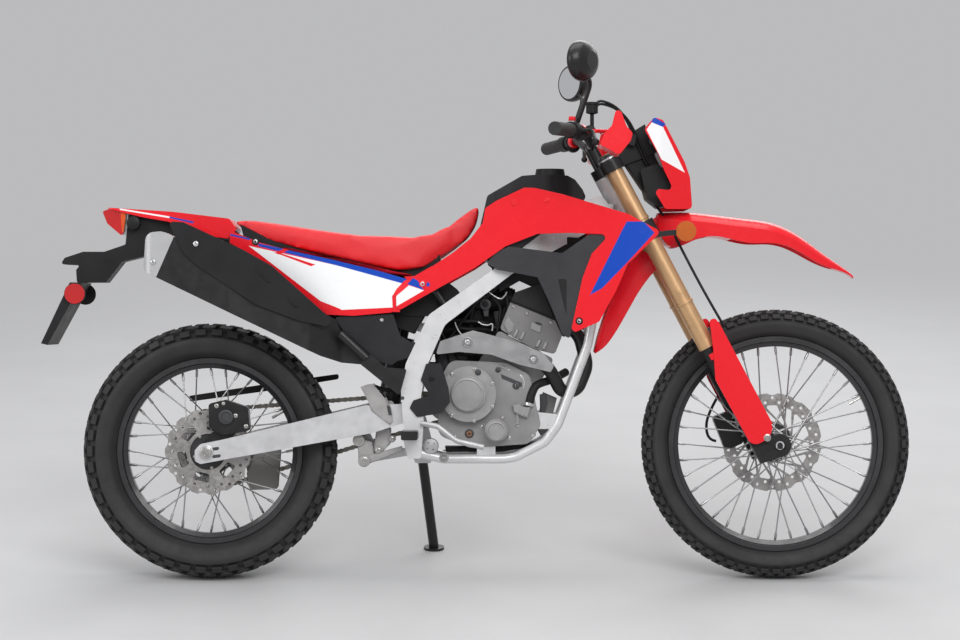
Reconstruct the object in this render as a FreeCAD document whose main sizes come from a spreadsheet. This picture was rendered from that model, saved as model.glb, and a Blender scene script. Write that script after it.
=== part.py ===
import FreeCAD, Part
import math
import os

import Sketcher
from FreeCAD import Placement, Rotation, Vector

# A dual sport motorcycle, leaning on its side stand with the steering straight ahead.
# It is drawn upright, X forward from the rear axle, Y to the left and Z up from the ground,
# and every piece is then parked by one placement. The two long measures of the chassis are
# the place of the steering head: outlines are shares of how far ahead and how high it lies.

SIZES = {
    # chassis
    "wheelbase": 1455,
    "head_height": 975,
    "rake_angle": 27.9,
    "leg_offset": 20,
    "axle_lead": 45,
    "lean_angle": 11,
    "running_gap": 0.3,
    "overrun": 5,
    # wheels
    "front_tyre_radius": 345,
    "front_tyre_width": 84,
    "rear_tyre_radius": 327,
    "rear_tyre_width": 122,
    "front_rim_radius": 267,
    "front_rim_width": 50,
    "rear_rim_radius": 229,
    "rear_rim_width": 66,
    "rim_depth": 17,
    "rim_wall": 4,
    "rim_flange": 9,
    "bead_wall": 9,
    "front_hub_radius": 24,
    "front_flange_radius": 34,
    "front_hub_width": 118,
    "rear_hub_radius": 34,
    "rear_flange_radius": 62,
    "rear_hub_width": 134,
    "flange_wall": 5,
    "front_axle_radius": 11,
    "front_axle_bore": 7,
    "rear_axle_radius": 10,
    "rear_axle_bore": 5,
    "axle_gap": 0.05,
    "front_disc_radius": 128,
    "rear_disc_radius": 110,
    "disc_wall": 4,
    "disc_mount_radius": 50,
    "disc_hole_radius": 4,
    "scallop_radius": 26,
    "scallop_depth": 5,
    "front_scallops": 12,
    "rear_scallops": 15,
    "front_arms": 15,
    "rear_arms": 6,
    "front_hole_count": 18,
    "rear_hole_count": 16,
    "sprocket_hole_radius": 14,
    "axle_collar_radius": 16,
    "spoke_count": 36,
    "spoke_radius": 1.8,
    "front_spoke_turn": 62,
    "rear_spoke_turn": 48,
    "front_disc_place": 64,
    "rear_disc_place": 76,
    "sprocket_wall": 7,
    "chain_pitch": 15.875,
    "rear_teeth": 40,
    "front_teeth": 14,
    "chain_line": 79,
    "chain_height": 15,
    "chain_width": 18,
    "plate_wall": 2,
    "roller_radius": 5,
    # fork
    "leg_spacing": 200,
    "tube_radius": 22.5,
    "stanchion_radius": 19,
    "foot_radius": 29,
    "tube_length": 554,
    "tube_cap": 20,
    "head_tube_below": 84,
    "head_tube_above": 65,
    "lower_clamp_wall": 36,
    "upper_clamp_wall": 26,
    "clamp_bolt_radius": 16,
    "guard_width": 76,
    "guard_length": 336,
    "guard_bottom": 30,
    "guard_wall": 4,
    "clip_width": 16,
    "clamp_back": 5,
    "clamp_front": 31,
    "caliper_width": 44,
    "caliper_corner": 10,
    # controls
    "bar_width": 790,
    "bar_rise": 60,
    "bar_post_spacing": 104,
    "bar_radius": 11,
    "bar_centre_radius": 14,
    "grip_length": 122,
    "grip_radius": 17,
    "housing_length": 41,
    "housing_radius": 21,
    "ring_width": 14,
    "lever_radius": 5,
    "mirror_span": 640,
    "mirror_stem_radius": 5.5,
    "mirror_half_width": 62,
    "mirror_half_height": 50,
    "mirror_yaw": 30,
    # frame and engine
    "spar_width": 34,
    "frame_width": 268,
    "tube_slim": 12,
    "head_tube_radius": 30,
    "lug_wall": 14,
    "rail_place": 80,
    "engine_lug_width": 30,
    "shroud_stay_end": 189,
    "subframe_inset": 12.5,
    "brace_gap": 13.6,
    "brace_length": 62.8,
    "case_right": 82,
    "case_left": 66,
    "barrel_width": 120,
    "head_width": 132,
    "intake_radius": 26,
    "airbox_width": 136,
    "radiator_inside": 96,
    "radiator_outside": 164,
    "radiator_stay_start": 52,
    "sprocket_boss_radius": 17,
    "spring_radius": 30,
    "peg_length": 95,
    "pillion_peg_radius": 11,
    "pedal_radius": 7,
    "cover_width": 34,
    "clutch_cover_radius": 71,
    "arm_width": 28,
    "swingarm_width": 246,
    "pivot_radius": 21,
    "pipe_radius": 17,
    "silencer_out": 190,
    # bodywork
    "seat_width": 236,
    "tank_width": 280,
    "cap_radius": 40,
    "cap_height": 23,
    "boss_radius": 8,
    "plate_width": 180,
    "lens_width": 116,
    "lens_wall": 10,
    "lamp_housing_width": 140,
    "meter_width": 130,
    "shroud_width": 420,
    "side_cover_width": 262,
    "panel_wall": 4,
    "fender_width": 150,
    "front_fender_width": 146,
    "fender_shoulder": 22,
    "cowl_width": 228,
    # side stand
    "stand_radius": 13,
    "stand_eye_radius": 18,
    "stand_eye_length": 30,
    "stand_pin_radius": 6,
    "stand_pivot_out": 22,
    "stand_foot_out": 134,
    "stand_foot_radius": 27,
    "stand_foot_wall": 6,
}

doc = FreeCAD.newDocument("dual_sport_motorcycle")
sheet = doc.addObject("Spreadsheet::Sheet", "Sizes")
for row, (alias, number) in enumerate(SIZES.items(), start=1):
    sheet.set(f"A{row}", alias)
    sheet.set(f"B{row}", str(number))
    sheet.setAlias(f"B{row}", alias)
doc.recompute()


class Size(float):
    """A number that keeps the expression over the sheet that it is worked out from."""

    def __new__(cls, value, text):
        number = super().__new__(cls, value)
        number.text = text
        return number

    def __add__(self, other):
        return combined(self, "+", other, float(self) + float(other))

    def __radd__(self, other):
        return combined(other, "+", self, float(self) + float(other))

    def __sub__(self, other):
        return combined(self, "-", other, float(self) - float(other))

    def __rsub__(self, other):
        return combined(other, "-", self, float(other) - float(self))

    def __mul__(self, other):
        return combined(self, "*", other, float(self) * float(other))

    def __rmul__(self, other):
        return combined(other, "*", self, float(self) * float(other))

    def __truediv__(self, other):
        return combined(self, "/", other, float(self) / float(other))

    def __neg__(self):
        return combined(0.0, "-", self, -float(self))


def combined(left, sign, right, value):
    texts = [part.text if isinstance(part, Size) else repr(float(part)) for part in (left, right)]
    return Size(value, f"({texts[0]} {sign} {texts[1]})")


class Sheet:
    """Reads the sheet's cells by their aliases."""

    def __getattr__(self, alias):
        return Size(sheet.get(alias), f"Sizes.{alias}")


S = Sheet()


RAKE = math.radians(S.rake_angle)
UP_FORK = Vector(-math.sin(RAKE), 0, math.cos(RAKE))
AHEAD_OF_FORK = Vector(math.cos(RAKE), 0, math.sin(RAKE))
LEFTWARD = Vector(0, 1, 0)
REAR_AXLE = Vector(0, 0, S.rear_tyre_radius)
FRONT_AXLE = Vector(S.wheelbase, 0, S.front_tyre_radius)
AXIS_FOOT = FRONT_AXLE - AHEAD_OF_FORK * float(S.leg_offset + S.axle_lead)
REACH = AXIS_FOOT.x - (S.head_height - AXIS_FOOT.z) * math.tan(RAKE)
RISE = float(S.head_height)
HEAD_UP = (RISE - AXIS_FOOT.z) / math.cos(RAKE)
LOWER_CLAMP_TOP = HEAD_UP - float(S.head_tube_below)
UPPER_CLAMP_LOW = HEAD_UP + float(S.head_tube_above)
TUBE_TOP = UPPER_CLAMP_LOW + float(S.upper_clamp_wall + S.tube_cap)
TUBE_BOTTOM = TUBE_TOP - float(S.tube_length)

UPRIGHT = Placement()
FORK = Placement(AXIS_FOOT, Rotation(LEFTWARD, -float(S.rake_angle)))
AT_REAR_AXLE = Placement(REAR_AXLE, Rotation())
AT_FRONT_AXLE = Placement(FRONT_AXLE, Rotation())
LEAN = Rotation(Vector(1, 0, 0), -float(S.lean_angle))

PIVOT_SHARE = (0.494, 0.441)
STAND_PIVOT_SHARE = (0.515, 0.32615)
STAND_FOOT_SHARE = 0.545
FOLDED_SHARES = (-0.97, 0.02, 0.24)
SUBFRAME_PLACE = S.frame_width / 2 - S.spar_width - S.subframe_inset

BACKWARD = Vector(-1, 0, 0)
FORWARD = Vector(1, 0, 0)
UPWARD = Vector(0, 0, 1)
DOWNWARD = Vector(0, 0, -1)
RIGHTWARD = Vector(0, -1, 0)

nodes = []
made = {}


def keep(name, thing, home=UPRIGHT):
    thing.Label = name
    thing.Placement = home
    nodes.append((thing, home))
    made[name] = thing
    return thing


def trimmed(solid, name, direction):
    """The solid cut back to the running gap from a piece made before it, the piece's own home being upright."""
    other = made[name].Shape.copy()
    other.translate(direction * float(S.running_gap))
    return solid.cut(other).cut(made[name].Shape)


def largest(shape):
    return max(shape.Solids, key=lambda solid: solid.Volume)


def feature(name, solids, home=UPRIGHT):
    thing = doc.addObject("Part::Feature", name)
    thing.Shape = solids[0] if len(solids) == 1 else Part.makeCompound(solids)
    return keep(name, thing, home)


def at(share, left=0.0):
    """A place given in shares of the steering head's reach and rise."""
    return Vector(REACH * share[0], left, RISE * share[1])


def leg(ahead, left, up):
    """A place beside the fork, in the fork's own frame."""
    return Vector(ahead, left, up)


CORNER_SHARE = 0.46
FINE_SHARE = 0.005
SOFT_SHARE = 0.01
ROUND_SHARE = 0.03
WIDE_SHARE = 0.05
PIPE_BEND_SHARE = 0.06
TALL_SHARE = 2
FINE = RISE * FINE_SHARE
SOFT = RISE * SOFT_SHARE
ROUND = RISE * ROUND_SHARE
WIDE = RISE * WIDE_SHARE
PIPE_BEND = RISE * PIPE_BEND_SHARE
TALL = RISE * TALL_SHARE


def path(points, radius, closed=False):
    """A wire of straight runs joined by tangent arcs, none larger than its runs allow."""
    count = len(points)
    ends = []
    arcs = []
    for index, corner in enumerate(points):
        if not closed and index in (0, count - 1):
            ends.append((corner, corner))
            arcs.append(None)
            continue
        back = points[index - 1] - corner
        onward = points[(index + 1) % count] - corner
        shorter = min(back.Length, onward.Length)
        half_turn = back.getAngle(onward) / 2
        back.normalize()
        onward.normalize()
        run = min(radius / math.tan(half_turn), CORNER_SHARE * shorter)
        if run < S.running_gap or radius == 0:
            ends.append((corner, corner))
            arcs.append(None)
            continue
        start = corner + back * run
        stop = corner + onward * run
        bisector = (back + onward).normalize()
        centre = corner + bisector * (run / math.cos(half_turn))
        middle = centre - bisector * (run * math.tan(half_turn))
        ends.append((start, stop))
        arcs.append(Part.Arc(start, middle, stop).toShape())
    edges = []
    for index in range(count if closed else count - 1):
        start = ends[index][1]
        stop = ends[(index + 1) % count][0]
        if arcs[index] is not None and (closed or index > 0):
            edges.append(arcs[index])
        if (stop - start).Length > 0:
            edges.append(Part.LineSegment(start, stop).toShape())
    return Part.Wire(Part.__sortEdges__(edges))


def outline(points, radius=0.0):
    return Part.Face(path(points, radius, closed=True))


def slab(shares, low, high, radius=0.0):
    """A plate whose side view is the outline, between two distances to the left."""
    face = outline([at(share, low) for share in shares], radius)
    return face.extrude(LEFTWARD * (high - low))


def block(points, direction, depth, radius=0.0):
    face = outline(points, radius)
    return face.extrude(direction * float(depth))


def both(solid):
    return [solid, solid.mirror(Vector(0, 0, 0), LEFTWARD)]


def tube(points, thickness, bend):
    """A round bar along straight runs and tangent arcs."""
    wire = path(points, bend)
    start = points[0]
    heading = points[1] - points[0]
    circle = Part.Wire(Part.makeCircle(thickness, start, heading))
    return wire.makePipeShell([circle], True, True)


def rod(start, stop, thickness):
    run = stop - start
    return Part.makeCylinder(thickness, run.Length, start, run)


def across(centre, thickness, low, high):
    """A round bar lying across the machine."""
    return Part.makeCylinder(thickness, high - low, Vector(centre.x, low, centre.z), LEFTWARD)


def ring(centre, outer, inner, low, high):
    bar = across(centre, outer, low, high)
    return bar.cut(across(centre, inner, low - S.overrun, high + S.overrun))


def fused(*solids):
    whole = solids[0].multiFuse(list(solids[1:]))
    return whole.removeSplitter()


def shell(side_shares, plan_shares, half_width, wall, radius=0.0, bend=None):
    """A curved panel on the left: a bent sheet in plan, cut to its outline in side view.

    With a bend radius its plan is straight runs and arcs, and otherwise one smooth curve."""
    outer = [Vector(REACH * along, half_width * out, 0) for along, out in plan_shares]
    inner = [point - LEFTWARD * float(wall) for point in outer]
    curves = []
    for points in (outer, inner):
        if bend is None:
            curve = Part.BSplineCurve()
            curve.interpolate(points)
            curves.append(curve.toShape())
        else:
            curves += path(points, bend).Edges
    closing = [Part.LineSegment(outer[0], inner[0]).toShape(), Part.LineSegment(outer[-1], inner[-1]).toShape()]
    sheet_face = Part.Face(Part.Wire(Part.__sortEdges__(curves + closing)))
    sheet_solid = sheet_face.extrude(UPWARD * TALL)
    return sheet_solid.common(slab(side_shares, 0.0, half_width * 1.5, radius))


def plan_block(plan_shares, half_width, radius=0.0):
    """Everything inside a symmetrical outline seen from above."""
    left = [Vector(REACH * along, half_width * out, 0) for along, out in plan_shares]
    right = [Vector(point.x, -point.y, 0) for point in reversed(left)]
    face = outline(left + right, radius)
    return face.extrude(UPWARD * TALL)


def plane_of(body, role):
    for plane in body.Origin.OriginFeatures:
        if plane.Role == role:
            return plane
    raise ValueError(role)


def polygon_sketch(body, name, role, corners):
    """A closed sketch whose corners are pairs of sizes, each held by its own dimension."""
    sketch = body.newObject("Sketcher::SketchObject", name)
    sketch.AttachmentSupport = (plane_of(body, role), "")
    sketch.MapMode = "FlatFace"
    points = [Vector(*corner, 0) for corner in corners]
    lines = [Part.LineSegment(a, b) for a, b in zip(points, points[1:] + points[:1])]
    sketch.addGeometry(lines, False)
    count = len(lines)
    sketch.addConstraint([Sketcher.Constraint("Coincident", i, 2, (i + 1) % count, 1) for i in range(count)])
    for index, corner in enumerate(corners):
        for kind, axis, size in zip(("DistanceX", "DistanceY"), (-2, -1), corner):
            if float(size) == 0:
                sketch.addConstraint(Sketcher.Constraint("PointOnObject", index, 1, axis))
            elif size > 0:
                rule = sketch.addConstraint(Sketcher.Constraint(kind, -1, 1, index, 1, float(size)))
                sketch.setExpression(f"Constraints[{rule}]", size.text)
            else:
                rule = sketch.addConstraint(Sketcher.Constraint(kind, index, 1, -1, 1, -float(size)))
                sketch.setExpression(f"Constraints[{rule}]", (-size).text)
    return sketch


def turned(name, half_profile):
    """A body of revolution about the axle, its section given as distance left and radius."""
    body = doc.addObject("PartDesign::Body", name)
    sketch = polygon_sketch(body, name + "_section", "YZ_Plane", half_profile)
    solid = body.newObject("PartDesign::Revolution", name + "_turned")
    solid.Profile = sketch
    solid.ReferenceAxis = (sketch, ["H_Axis"])
    solid.Angle = 360
    return body


TYRE_SHARES = [(0.42, 0.26), (0.50, 0.50), (0.485, 0.72), (0.40, 0.88), (0.25, 0.965), (0.09, 1.0)]


def tyre(name, radius, width, rim_radius, rim_width):
    """A carcass whose beads stand inside the rim's flanges."""
    height = radius - rim_radius
    wall = S.bead_wall
    seat = rim_radius + S.running_gap
    bead = rim_width / 2 - S.rim_wall - S.running_gap
    outer = [(bead, seat), (bead, seat + S.rim_flange)]
    outer += [(width * across_share, rim_radius + height * up) for across_share, up in TYRE_SHARES]
    inner = [(bead - wall, seat), (width * 0.5 - wall, rim_radius + height * 0.5), (width * 0.25, radius - wall * 1.6)]
    profile = outer + [(-left, up) for left, up in reversed(outer)]
    profile += [(-left, up) for left, up in inner]
    profile += list(reversed(inner))
    return turned(name, profile)


def around(tool, count, start=0.0):
    """Copies of a piece spaced evenly about the axle, the first one turned by a share of their spacing."""
    copies = []
    for index in range(count):
        copy = tool.copy()
        copy.rotate(Vector(), LEFTWARD, 360.0 * (index + start) / count)
        copies.append(copy)
    return copies


def rim(name, radius, width):
    """A drop-centre rim: flanges, bead seats and a well."""
    half = width / 2
    wall = S.rim_wall
    well = radius - S.rim_depth
    outside = [
        (half - wall, radius),
        (half - wall, radius + S.rim_flange),
        (half, radius + S.rim_flange),
        (half, radius - wall),
        (half * 0.55, radius - wall * 1.5),
        (half * 0.38, well),
    ]
    well_floor = [(half * 0.38 - wall / 2, well + wall), (half * 0.55, radius)]
    corners = outside + [(-left, up) for left, up in reversed(outside)]
    corners += [(-left, up) for left, up in reversed(well_floor)]
    corners += well_floor
    return turned(name, corners)


def hub_side(radius, flange_radius, half, bore, face):
    """One end of a hub's section, with a seat for a disc or sprocket where a face is given."""
    wall = S.flange_wall
    mount = S.disc_mount_radius
    if face is None:
        end = [(half, bore), (half, radius * 0.7)]
    else:
        end = [(face, bore), (face, mount), (face - wall, mount), (face - wall, radius), (half - wall, radius)]
    return end + [(half - wall, flange_radius), (half - wall * 2, flange_radius), (half - wall * 3, radius)]


def hub(name, radius, flange_radius, width, bore, left_face, right_face):
    half = width / 2
    left = hub_side(radius, flange_radius, half, bore, left_face)
    right = hub_side(radius, flange_radius, half, bore, right_face)
    return turned(name, left + [(-out, up) for out, up in reversed(right)])


def spokes(flange_radius, hub_width, rim_radius, turn):
    """Crossed spokes, leading and trailing ones by turns, from each flange to the rim's well."""
    count = int(S.spoke_count)
    start_radius = float(flange_radius - S.flange_wall)
    stop_radius = float(rim_radius - S.rim_depth - S.running_gap * 2)
    flange_middle = float(hub_width / 2 - S.flange_wall * 1.5)
    spread = float(S.spoke_radius) * 1.4
    solids = []
    for index in range(count):
        side = 1 if index % 2 == 0 else -1
        lead = 1 if index // 2 % 2 == 0 else -1
        rim_angle = 2 * math.pi * index / count
        hub_angle = rim_angle - lead * math.radians(turn)
        start = Vector(
            start_radius * math.cos(hub_angle), side * (flange_middle + lead * spread), start_radius * math.sin(hub_angle)
        )
        stop = Vector(
            stop_radius * math.cos(rim_angle), side * (spread * 2.3 + lead * spread), stop_radius * math.sin(rim_angle)
        )
        solids.append(rod(start, stop, S.spoke_radius))
    return solids


def brake_disc(name, radius, place):
    """A disc whose carrier reaches in to the hub's seat."""
    wall = S.disc_wall
    inner = S.disc_mount_radius - wall
    low = place - wall / 2
    return turned(name, [(low, inner), (low + wall, inner), (low + wall, radius), (low, radius)])


FRONT_WINDOW_SHARES = [(0.42, 0.0), (0.42, 0.60), (0.76, 2.25), (0.76, 1.45)]
REAR_WINDOW_SHARES = [(0.52, 0.0), (0.52, 0.55), (0.73, 0.55), (0.73, 0.0)]
HOLE_ROW_SHARES = [(0.815, 0.0), (0.905, 0.5)]
SPROCKET_WINDOW_SHARE = 0.72


def round_axle(radius, turn):
    """A place round the axle, a quarter turn on from straight up."""
    return Vector(radius * math.cos(turn), 0, radius * math.sin(turn))


def pierced(disc, radius, scallops, arms, window_shares, holes):
    """The disc with a wavy edge, windows between its arms and two rows of holes in its ring."""
    reach = float(S.rear_disc_place) * 2
    scallop_place = round_axle(radius + S.scallop_radius - S.scallop_depth, 0)
    tools = around(across(scallop_place, S.scallop_radius, -reach, reach), scallops)
    spacing = 2 * math.pi / arms
    corners = [round_axle(radius * out, spacing * turn) - LEFTWARD * reach for out, turn in window_shares]
    tools += around(block(corners, LEFTWARD, reach * 2, FINE), arms)
    for out, start in HOLE_ROW_SHARES:
        hole = across(round_axle(radius * out, 0), S.disc_hole_radius, -reach, reach)
        tools += around(hole, holes, start)
    return disc.cut(tools)


def sprocket_radius(teeth):
    return S.chain_pitch / (2 * math.sin(math.pi / teeth))


def wheels():
    front = tyre("front_tyre", S.front_tyre_radius, S.front_tyre_width, S.front_rim_radius, S.front_rim_width)
    rear = tyre("rear_tyre", S.rear_tyre_radius, S.rear_tyre_width, S.rear_rim_radius, S.rear_rim_width)
    keep("front_tyre", front, AT_FRONT_AXLE)
    keep("rear_tyre", rear, AT_REAR_AXLE)
    keep("front_rim", rim("front_rim", S.front_rim_radius, S.front_rim_width), AT_FRONT_AXLE)
    keep("rear_rim", rim("rear_rim", S.rear_rim_radius, S.rear_rim_width), AT_REAR_AXLE)
    front_bore = S.front_axle_radius + S.axle_gap
    rear_bore = S.rear_axle_radius + S.axle_gap
    front_face = S.front_disc_place - S.disc_wall / 2 - S.running_gap
    rear_face = S.rear_disc_place - S.disc_wall / 2 - S.running_gap
    sprocket_face = S.chain_line - S.sprocket_wall / 2 - S.running_gap
    cores = [
        hub("front_hub_core", S.front_hub_radius, S.front_flange_radius, S.front_hub_width, front_bore, front_face, None),
        hub("rear_hub_core", S.rear_hub_radius, S.rear_flange_radius, S.rear_hub_width, rear_bore, sprocket_face, rear_face),
    ]
    front_disc = brake_disc("front_disc_blank", S.front_disc_radius, S.front_disc_place)
    rear_disc = brake_disc("rear_disc_blank", S.rear_disc_radius, -S.rear_disc_place)
    root = sprocket_radius(int(S.rear_teeth)) - S.roller_radius - S.running_gap
    low = S.chain_line - S.sprocket_wall / 2
    web = S.disc_mount_radius - S.disc_wall
    profile = [(low, web), (low + S.sprocket_wall, web), (low + S.sprocket_wall, root), (low, root)]
    sprocket = turned("rear_sprocket_blank", profile)
    doc.recompute()
    front_pattern = (int(S.front_scallops), int(S.front_arms), FRONT_WINDOW_SHARES, int(S.front_hole_count))
    rear_pattern = (int(S.rear_scallops), int(S.rear_arms), REAR_WINDOW_SHARES, int(S.rear_hole_count))
    feature("front_disc", [pierced(front_disc.Shape, S.front_disc_radius, *front_pattern)], AT_FRONT_AXLE)
    feature("rear_disc", [pierced(rear_disc.Shape, S.rear_disc_radius, *rear_pattern)], AT_REAR_AXLE)
    web_window = across(round_axle(root * SPROCKET_WINDOW_SHARE, 0), S.sprocket_hole_radius, 0, S.chain_line * 2)
    feature("rear_sprocket", [sprocket.Shape.cut(around(web_window, int(S.rear_arms)))], AT_REAR_AXLE)
    front_spokes = spokes(S.front_flange_radius, S.front_hub_width, S.front_rim_radius, S.front_spoke_turn)
    rear_spokes = spokes(S.rear_flange_radius, S.rear_hub_width, S.rear_rim_radius, S.rear_spoke_turn)
    feature("front_hub", [fused(cores[0].Shape, *front_spokes)], AT_FRONT_AXLE)
    feature("rear_hub", [fused(cores[1].Shape, *rear_spokes)], AT_REAR_AXLE)


def fork_leg(left):
    """A slider with the foot that holds the axle ahead of it."""
    offset = float(S.leg_offset)
    radius = S.stanchion_radius
    up = Vector(0, 0, 1)
    axle_place = Vector(S.leg_offset + S.axle_lead, 0, 0)
    shaft = Part.makeCylinder(radius, TUBE_BOTTOM - S.running_gap - S.guard_bottom, leg(offset, left, S.guard_bottom), up)
    lug = across(axle_place, S.foot_radius, left - radius, left + radius)
    foot = block(
        [
            leg(offset - radius, left - radius, -radius),
            leg(offset + S.axle_lead, left - radius, -S.foot_radius),
            leg(offset + S.axle_lead, left - radius, S.foot_radius),
            leg(offset + radius, left - radius, S.foot_radius * 3),
            leg(offset - radius, left - radius, S.foot_radius * 3),
        ],
        LEFTWARD,
        radius * 2,
    )
    bore = across(axle_place, S.front_axle_radius + S.axle_gap, left - radius - S.overrun, left + radius + S.overrun)
    return fused(shaft, foot, lug).cut(bore)


CLIP_SHARES = (0.15, 0.72)


def fork_guard(spacing, offset):
    """A cheek beside the left leg with a lip round its front, clipped to the leg."""
    cheek_shares = [
        (0.76, 1.0), (0.97, 0.99), (1.0, 0.215), (0.95, 0.06), (0.68, 0.0), (0.03, 0.0), (0.0, 0.58), (0.41, 0.79),
    ]
    wall = float(S.guard_wall)
    rear_edge = offset - float(S.tube_radius)
    low = spacing + float(S.foot_radius + S.running_gap)
    points = [leg(rear_edge + S.guard_width * a, low, S.guard_bottom + S.guard_length * b) for a, b in cheek_shares]
    cheek = block(points, LEFTWARD, wall, S.guard_width * 0.3)
    inner = spacing - float(S.tube_radius)
    lip_low = float(S.guard_bottom + S.foot_radius)
    lip_corner = leg(rear_edge + S.guard_width - wall, inner, lip_low)
    lip = Part.makeBox(wall, low + wall - inner, S.guard_length - S.foot_radius * 1.5, lip_corner)
    clip_start = spacing + float(S.stanchion_radius + S.running_gap)
    clips = []
    for share in CLIP_SHARES:
        corner = leg(offset - S.clip_width / 2, clip_start, S.guard_bottom + S.guard_length * share)
        clips.append(Part.makeBox(S.clip_width, low + wall / 2 - clip_start, S.clip_width, corner))
    return fused(cheek, lip, *clips)


def front_fork():
    spacing = float(S.leg_spacing) / 2
    offset = float(S.leg_offset)
    up = Vector(0, 0, 1)
    tubes = [
        Part.makeCylinder(S.tube_radius, S.tube_length, leg(offset, side * spacing, TUBE_BOTTOM), up) for side in (-1, 1)
    ]
    feature("fork_tubes", tubes, FORK)
    feature("fork_legs", [fork_leg(side * spacing) for side in (-1, 1)], FORK)
    feature("fork_guards", both(fork_guard(spacing, offset)), FORK)
    fork_clamps(spacing, offset)
    front_axle(spacing)


def fork_clamps(spacing, offset):
    """Two bridges that hold the legs, joined by the steering stem."""
    up = Vector(0, 0, 1)
    solids = []
    for height, wall in (
        (LOWER_CLAMP_TOP - float(S.lower_clamp_wall), float(S.lower_clamp_wall)),
        (UPPER_CLAMP_LOW, float(S.upper_clamp_wall)),
    ):
        eye_radius = S.tube_radius + S.clamp_bolt_radius / 2
        boss = Part.makeCylinder(S.head_tube_radius, wall, leg(0, 0, height), up)
        eyes = [Part.makeCylinder(eye_radius, wall, leg(offset, side * spacing, height), up) for side in (-1, 1)]
        web = Part.makeBox(S.clamp_back + S.clamp_front, spacing * 2, wall, leg(-S.clamp_back, -spacing, height))
        bridge = fused(boss, web, *eyes)
        bore_radius = S.tube_radius + S.axle_gap / 2
        for side in (-1, 1):
            start = leg(offset, side * spacing, height - S.overrun)
            bridge = bridge.cut(Part.makeCylinder(bore_radius, wall + S.overrun * 2, start, up))
        solids.append(bridge)
    stem_low = LOWER_CLAMP_TOP - float(S.lower_clamp_wall)
    stem_length = UPPER_CLAMP_LOW + float(S.upper_clamp_wall) - stem_low
    stem = Part.makeCylinder(S.clamp_bolt_radius, stem_length, leg(0, 0, stem_low), up)
    feature("fork_clamps", [fused(solids[0], stem, solids[1])], FORK)


def collared_axle(centre, radius, bore, half, collar_from, collar_to):
    """A hollow axle with a collar on either side of the hub."""
    shaft = ring(centre, radius, bore, -half, half)
    collars = [
        ring(centre, S.axle_collar_radius, bore, collar_from, collar_to),
        ring(centre, S.axle_collar_radius, bore, -collar_to, -collar_from),
    ]
    return fused(shaft, *collars)


def front_axle(spacing):
    centre = Vector(S.leg_offset + S.axle_lead, 0, 0)
    half = spacing + S.stanchion_radius + S.overrun
    collar_to = spacing - S.stanchion_radius - S.running_gap
    axle = collared_axle(centre, S.front_axle_radius, S.front_axle_bore, half, float(S.front_disc_place), collar_to)
    feature("front_axle", [axle], FORK)


CALIPER_INNER_SHARE = 0.23


def front_brake():
    """The caliper straddles the disc, bolted behind the left leg, and the disc runs in its slot."""
    middle = float(S.front_disc_place)
    centre = float(S.leg_offset + S.axle_lead)
    behind = float(S.leg_offset - S.stanchion_radius - S.running_gap)
    caliper_shares = [(-0.42, 0.30), (0.0, 0.26), (0.0, 0.98), (-0.34, 1.02)]
    bracket_shares = [(-0.22, 0.40), (0.0, 0.36), (0.0, 0.86), (-0.22, 0.90)]
    low = middle - float(S.caliper_width) * CALIPER_INNER_SHARE
    radius = float(S.front_disc_radius)
    points = [leg(behind + radius * a, low, radius * b) for a, b in caliper_shares]
    body = block(points, LEFTWARD, S.caliper_width, S.caliper_corner)
    points = [leg(behind + radius * a, middle + S.disc_wall * 2, radius * b) for a, b in bracket_shares]
    bracket = block(points, LEFTWARD, S.leg_spacing / 2 - S.front_disc_place)
    gap = S.disc_wall * 1.2
    slot = across(Vector(centre, 0, 0), S.front_disc_radius + S.overrun / 2, middle - gap, middle + gap)
    feature("front_caliper", [fused(body, bracket).cut(slot)], FORK)


BAR_SHARES = [(0.0, 0.0, 0.0), (0.0, 0.0, 0.26), (-0.022, 0.030, 0.45), (-0.095, 0.022, 1.0)]


def bar_line(side):
    """The bar's centre line from the middle to one end: ahead, up and out."""
    height = UPPER_CLAMP_LOW + float(S.upper_clamp_wall + S.bar_rise)
    middle = FORK.multVec(leg(0, 0, height))
    half = float(S.bar_width) / 2
    return [middle + Vector(REACH * ahead, side * half * out, RISE * up) for ahead, up, out in BAR_SHARES]


def on_bar(side, inboard):
    """A place on the bar's outer run, measured inboard from its end, and the inward heading."""
    points = bar_line(side)
    heading = (points[-2] - points[-1]).normalize()
    return points[-1] + heading * float(inboard), heading


def bar_ring(side, inboard, width, radius):
    start, heading = on_bar(side, inboard)
    outside = rod(start, start + heading * float(width), radius)
    slack = heading * float(S.overrun)
    return outside.cut(rod(start - slack, start + heading * float(width) + slack, S.bar_radius + S.axle_gap))


LEVER_END_SHARE = (0.933, 1.127)
LEVER_OUT_SHARE = 0.462
GUARD_SEAT_SHARE = (0.998, 1.158)


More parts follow.
